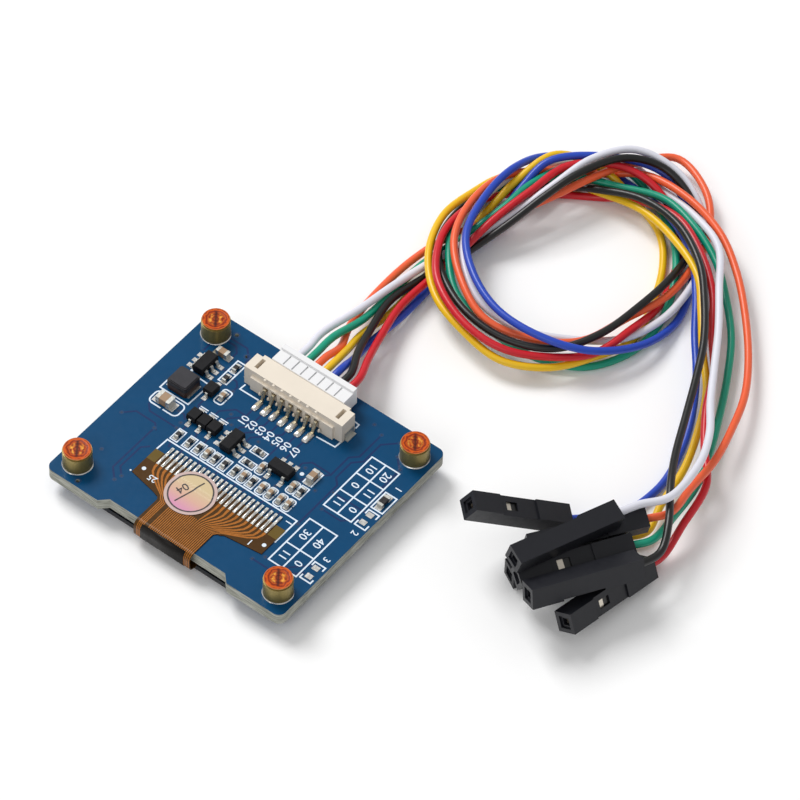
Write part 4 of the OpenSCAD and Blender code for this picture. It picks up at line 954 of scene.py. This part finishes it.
# The large capacitor stands between two round-ended halves, open above and below.
CAP_X, CAP_Y = -12.37, 0.7
for s in (1, -1):
    ends = corner_arc(1.49, 0.4, 0.6, 0)[::-1] + corner_arc(1.49, -0.4, 0.6, 3)[::-1]
    outline = [(0.25, 1.0)] + ends + [(0.25, -1.0)]
    ink(*[(CAP_X + s * x, CAP_Y + y) for x, y in outline])
box_ink(-10.03, 7.2, -8.83, 10.83)
ink((-10.03, 8.97), (-8.83, 8.97))
bracket_ink(-7.94, 5.5, 1.2, 2.3)
for x in (-8.5, -7.0, -5.55):
    for y in (2.55, 2.85):
        ink((x - 0.5, y), (x + 0.5, y), width=FINE)
for x, resistor in ROW:
    if resistor:
        box_ink(x - 0.5, -3.05, x + 0.5, -1.25, width=FINE)
    else:
        bracket_ink(x, -2.15, 1.04, 1.9, width=FINE)
box_ink(-0.5, 1.22, 1.44, 2.2, width=FINE)
box_ink(-0.46, -0.83, 1.46, 0.15, width=FINE)
bracket_ink(2.21, 0.1, 1.04, 1.9, width=FINE)
bracket_ink(6.69, 0.16, 1.04, 1.9, width=FINE)
box_ink(7.36, -0.75, 8.36, 1.1, width=FINE)
ink((7.05, 1.55), (7.05, 3.75), (8.25, 3.75), (8.25, 1.55))
box_ink(15.35, 3.55, 16.97, 6.27)
for x, y, foot in ((15.4, 1.1, 0.45), (15.4, 2.5, 3.1), (15.3, -8.9, -9.37), (15.3, -7.1, -6.6)):
    ink((x, y), (x, foot), (x + 1.5, foot), (x + 1.5, y))
for x, y, r in ((6.25, 2.36, 0.26), (-9.34, -9.5, 0.12), (-13.3, 6.4, 0.2)):
    disc(x, y, r, INK_Z, verts, faces)


def figures(text, x, y, height, turn, level=lambda y: INK_Z):
    """Plain digits printed flat, the middle of the word at x, y, turned about Z, at a level over y."""
    curve = bpy.data.curves.new("figures", "FONT")
    curve.body = text
    curve.size = height * MM * FIGURE_EM
    curve.align_x = curve.align_y = "CENTER"
    curve.offset = BOLDEN * MM
    curve.resolution_u = 2
    obj = show("figures", curve)
    mesh = final_mesh(obj)
    c, s = math.cos(math.radians(turn)), math.sin(math.radians(turn))
    k = len(verts)
    for v in mesh.vertices:
        px, py = v.co.x / MM, v.co.y / MM
        at_y = y + s * px + c * py
        verts.append((x + c * px - s * py, at_y, level(at_y)))
    for f in mesh.polygons:
        faces.append(tuple(k + i for i in f.vertices))
    bpy.data.objects.remove(obj)
    bpy.data.meshes.remove(mesh)
    bpy.data.curves.remove(curve)


for i in range(7):
    figures("0%d" % (i + 1), PLUG_X0 + WAY * i, 4.3, 1.02, -90)
for y, a, b in ((7.9, "10", "20"), (4.9, "0", "11"), (1.9, "11", "0"), (-4.3, "30", "40"), (-8.0, "11", "0")):
    figures(a, 11.95, y, 1.05, -90)
    figures(b, 13.95, y, 1.05, -90)
for text, x, y, height in (("1", 16.2, 7.5, 0.9), ("2", 16.2, -0.6, 0.9), ("3", 16.1, -5.6, 0.9),
                           ("1", 9.45, -4.1, 0.85)):
    figures(text, x, y, height, -90)
ink_mat = skinned("silk_ink", srgb(226, 238, 250), 0.6, size=3000, mottle=0.1, uneven=0.1, relief=0.3)
make("silkscreen", verts, faces, ink_mat)
FLEX_INK_Z = FLEX_TOP + 0.012
verts, faces = [], []
for text, x, y in (("25", -6.55, -8.95), ("1", 7.9, -9.1)):
    figures(text, x, y, 0.85, 180, level=lambda y: FLEX_INK_Z)
for x, y in ((-8.24, -8.42), (9.4, -8.44)):
    disc(x, y, 0.26, FLEX_INK_Z, verts, faces)
make("flex_marks", verts, faces, ink_mat)
verts, faces = [], []
figures("04", -2.95, -7.95, 1.08, -108, level=lambda y: seal_height(y) + PAPER + 0.01)
make("label_number", verts, faces, skinned("label_ink", srgb(44, 34, 38), 0.5, size=3000, mottle=0.2))


# ---- Sockets of the lead ----
# Seven single-way crimp sockets in black nylon shells. The crimp shows as bright metal in each shell's small
# window and down its front hole; past the middle of the window it carries painted shade.

shell_mat = skinned("black_nylon", srgb(26, 27, 33), 0.42, size=1600, mottle=0.12, uneven=0.2, relief=0.3,
                    specular=0.35)
CRIMP_LIP = 5.5
CRIMP_METAL, CRIMP_SHADE = srgb(216, 208, 194), srgb(16, 15, 15)


def crimp_finish(name):
    """Crimp metal, bright from the shell's front to the middle of its window, with painted shade beyond it,
    dark and not metallic.
    """
    mat, nodes, links, shader = finish("crimp_metal_" + name, CRIMP_METAL, 0.3)
    depth = nodes.new("ShaderNodeVectorMath")
    depth.operation = "DOT_PRODUCT"
    depth.inputs[1].default_value = RUNS[name]
    links.new(nodes.new("ShaderNodeTexCoord").outputs["Object"], depth.inputs[0])
    calc = calculator(nodes, links)
    lip = (Vector(SHELL_AT[name][:3]).dot(RUNS[name]) + CRIMP_LIP) * MM
    # Painted shade: past the lip the crimp is coloured near black and loses its metal.
    beyond = calc("GREATER_THAN", depth.outputs["Value"], lip)
    links.new(blend(nodes, links, beyond, CRIMP_METAL, CRIMP_SHADE), shader.inputs["Base Color"])
    links.new(calc("MULTIPLY_ADD", beyond, -0.85, 0.85), shader.inputs["Metallic"])
    return mat


for name in COLOURS:
    dress("shell_" + name, shell_mat)
    dress("contact_" + name, crimp_finish(name))
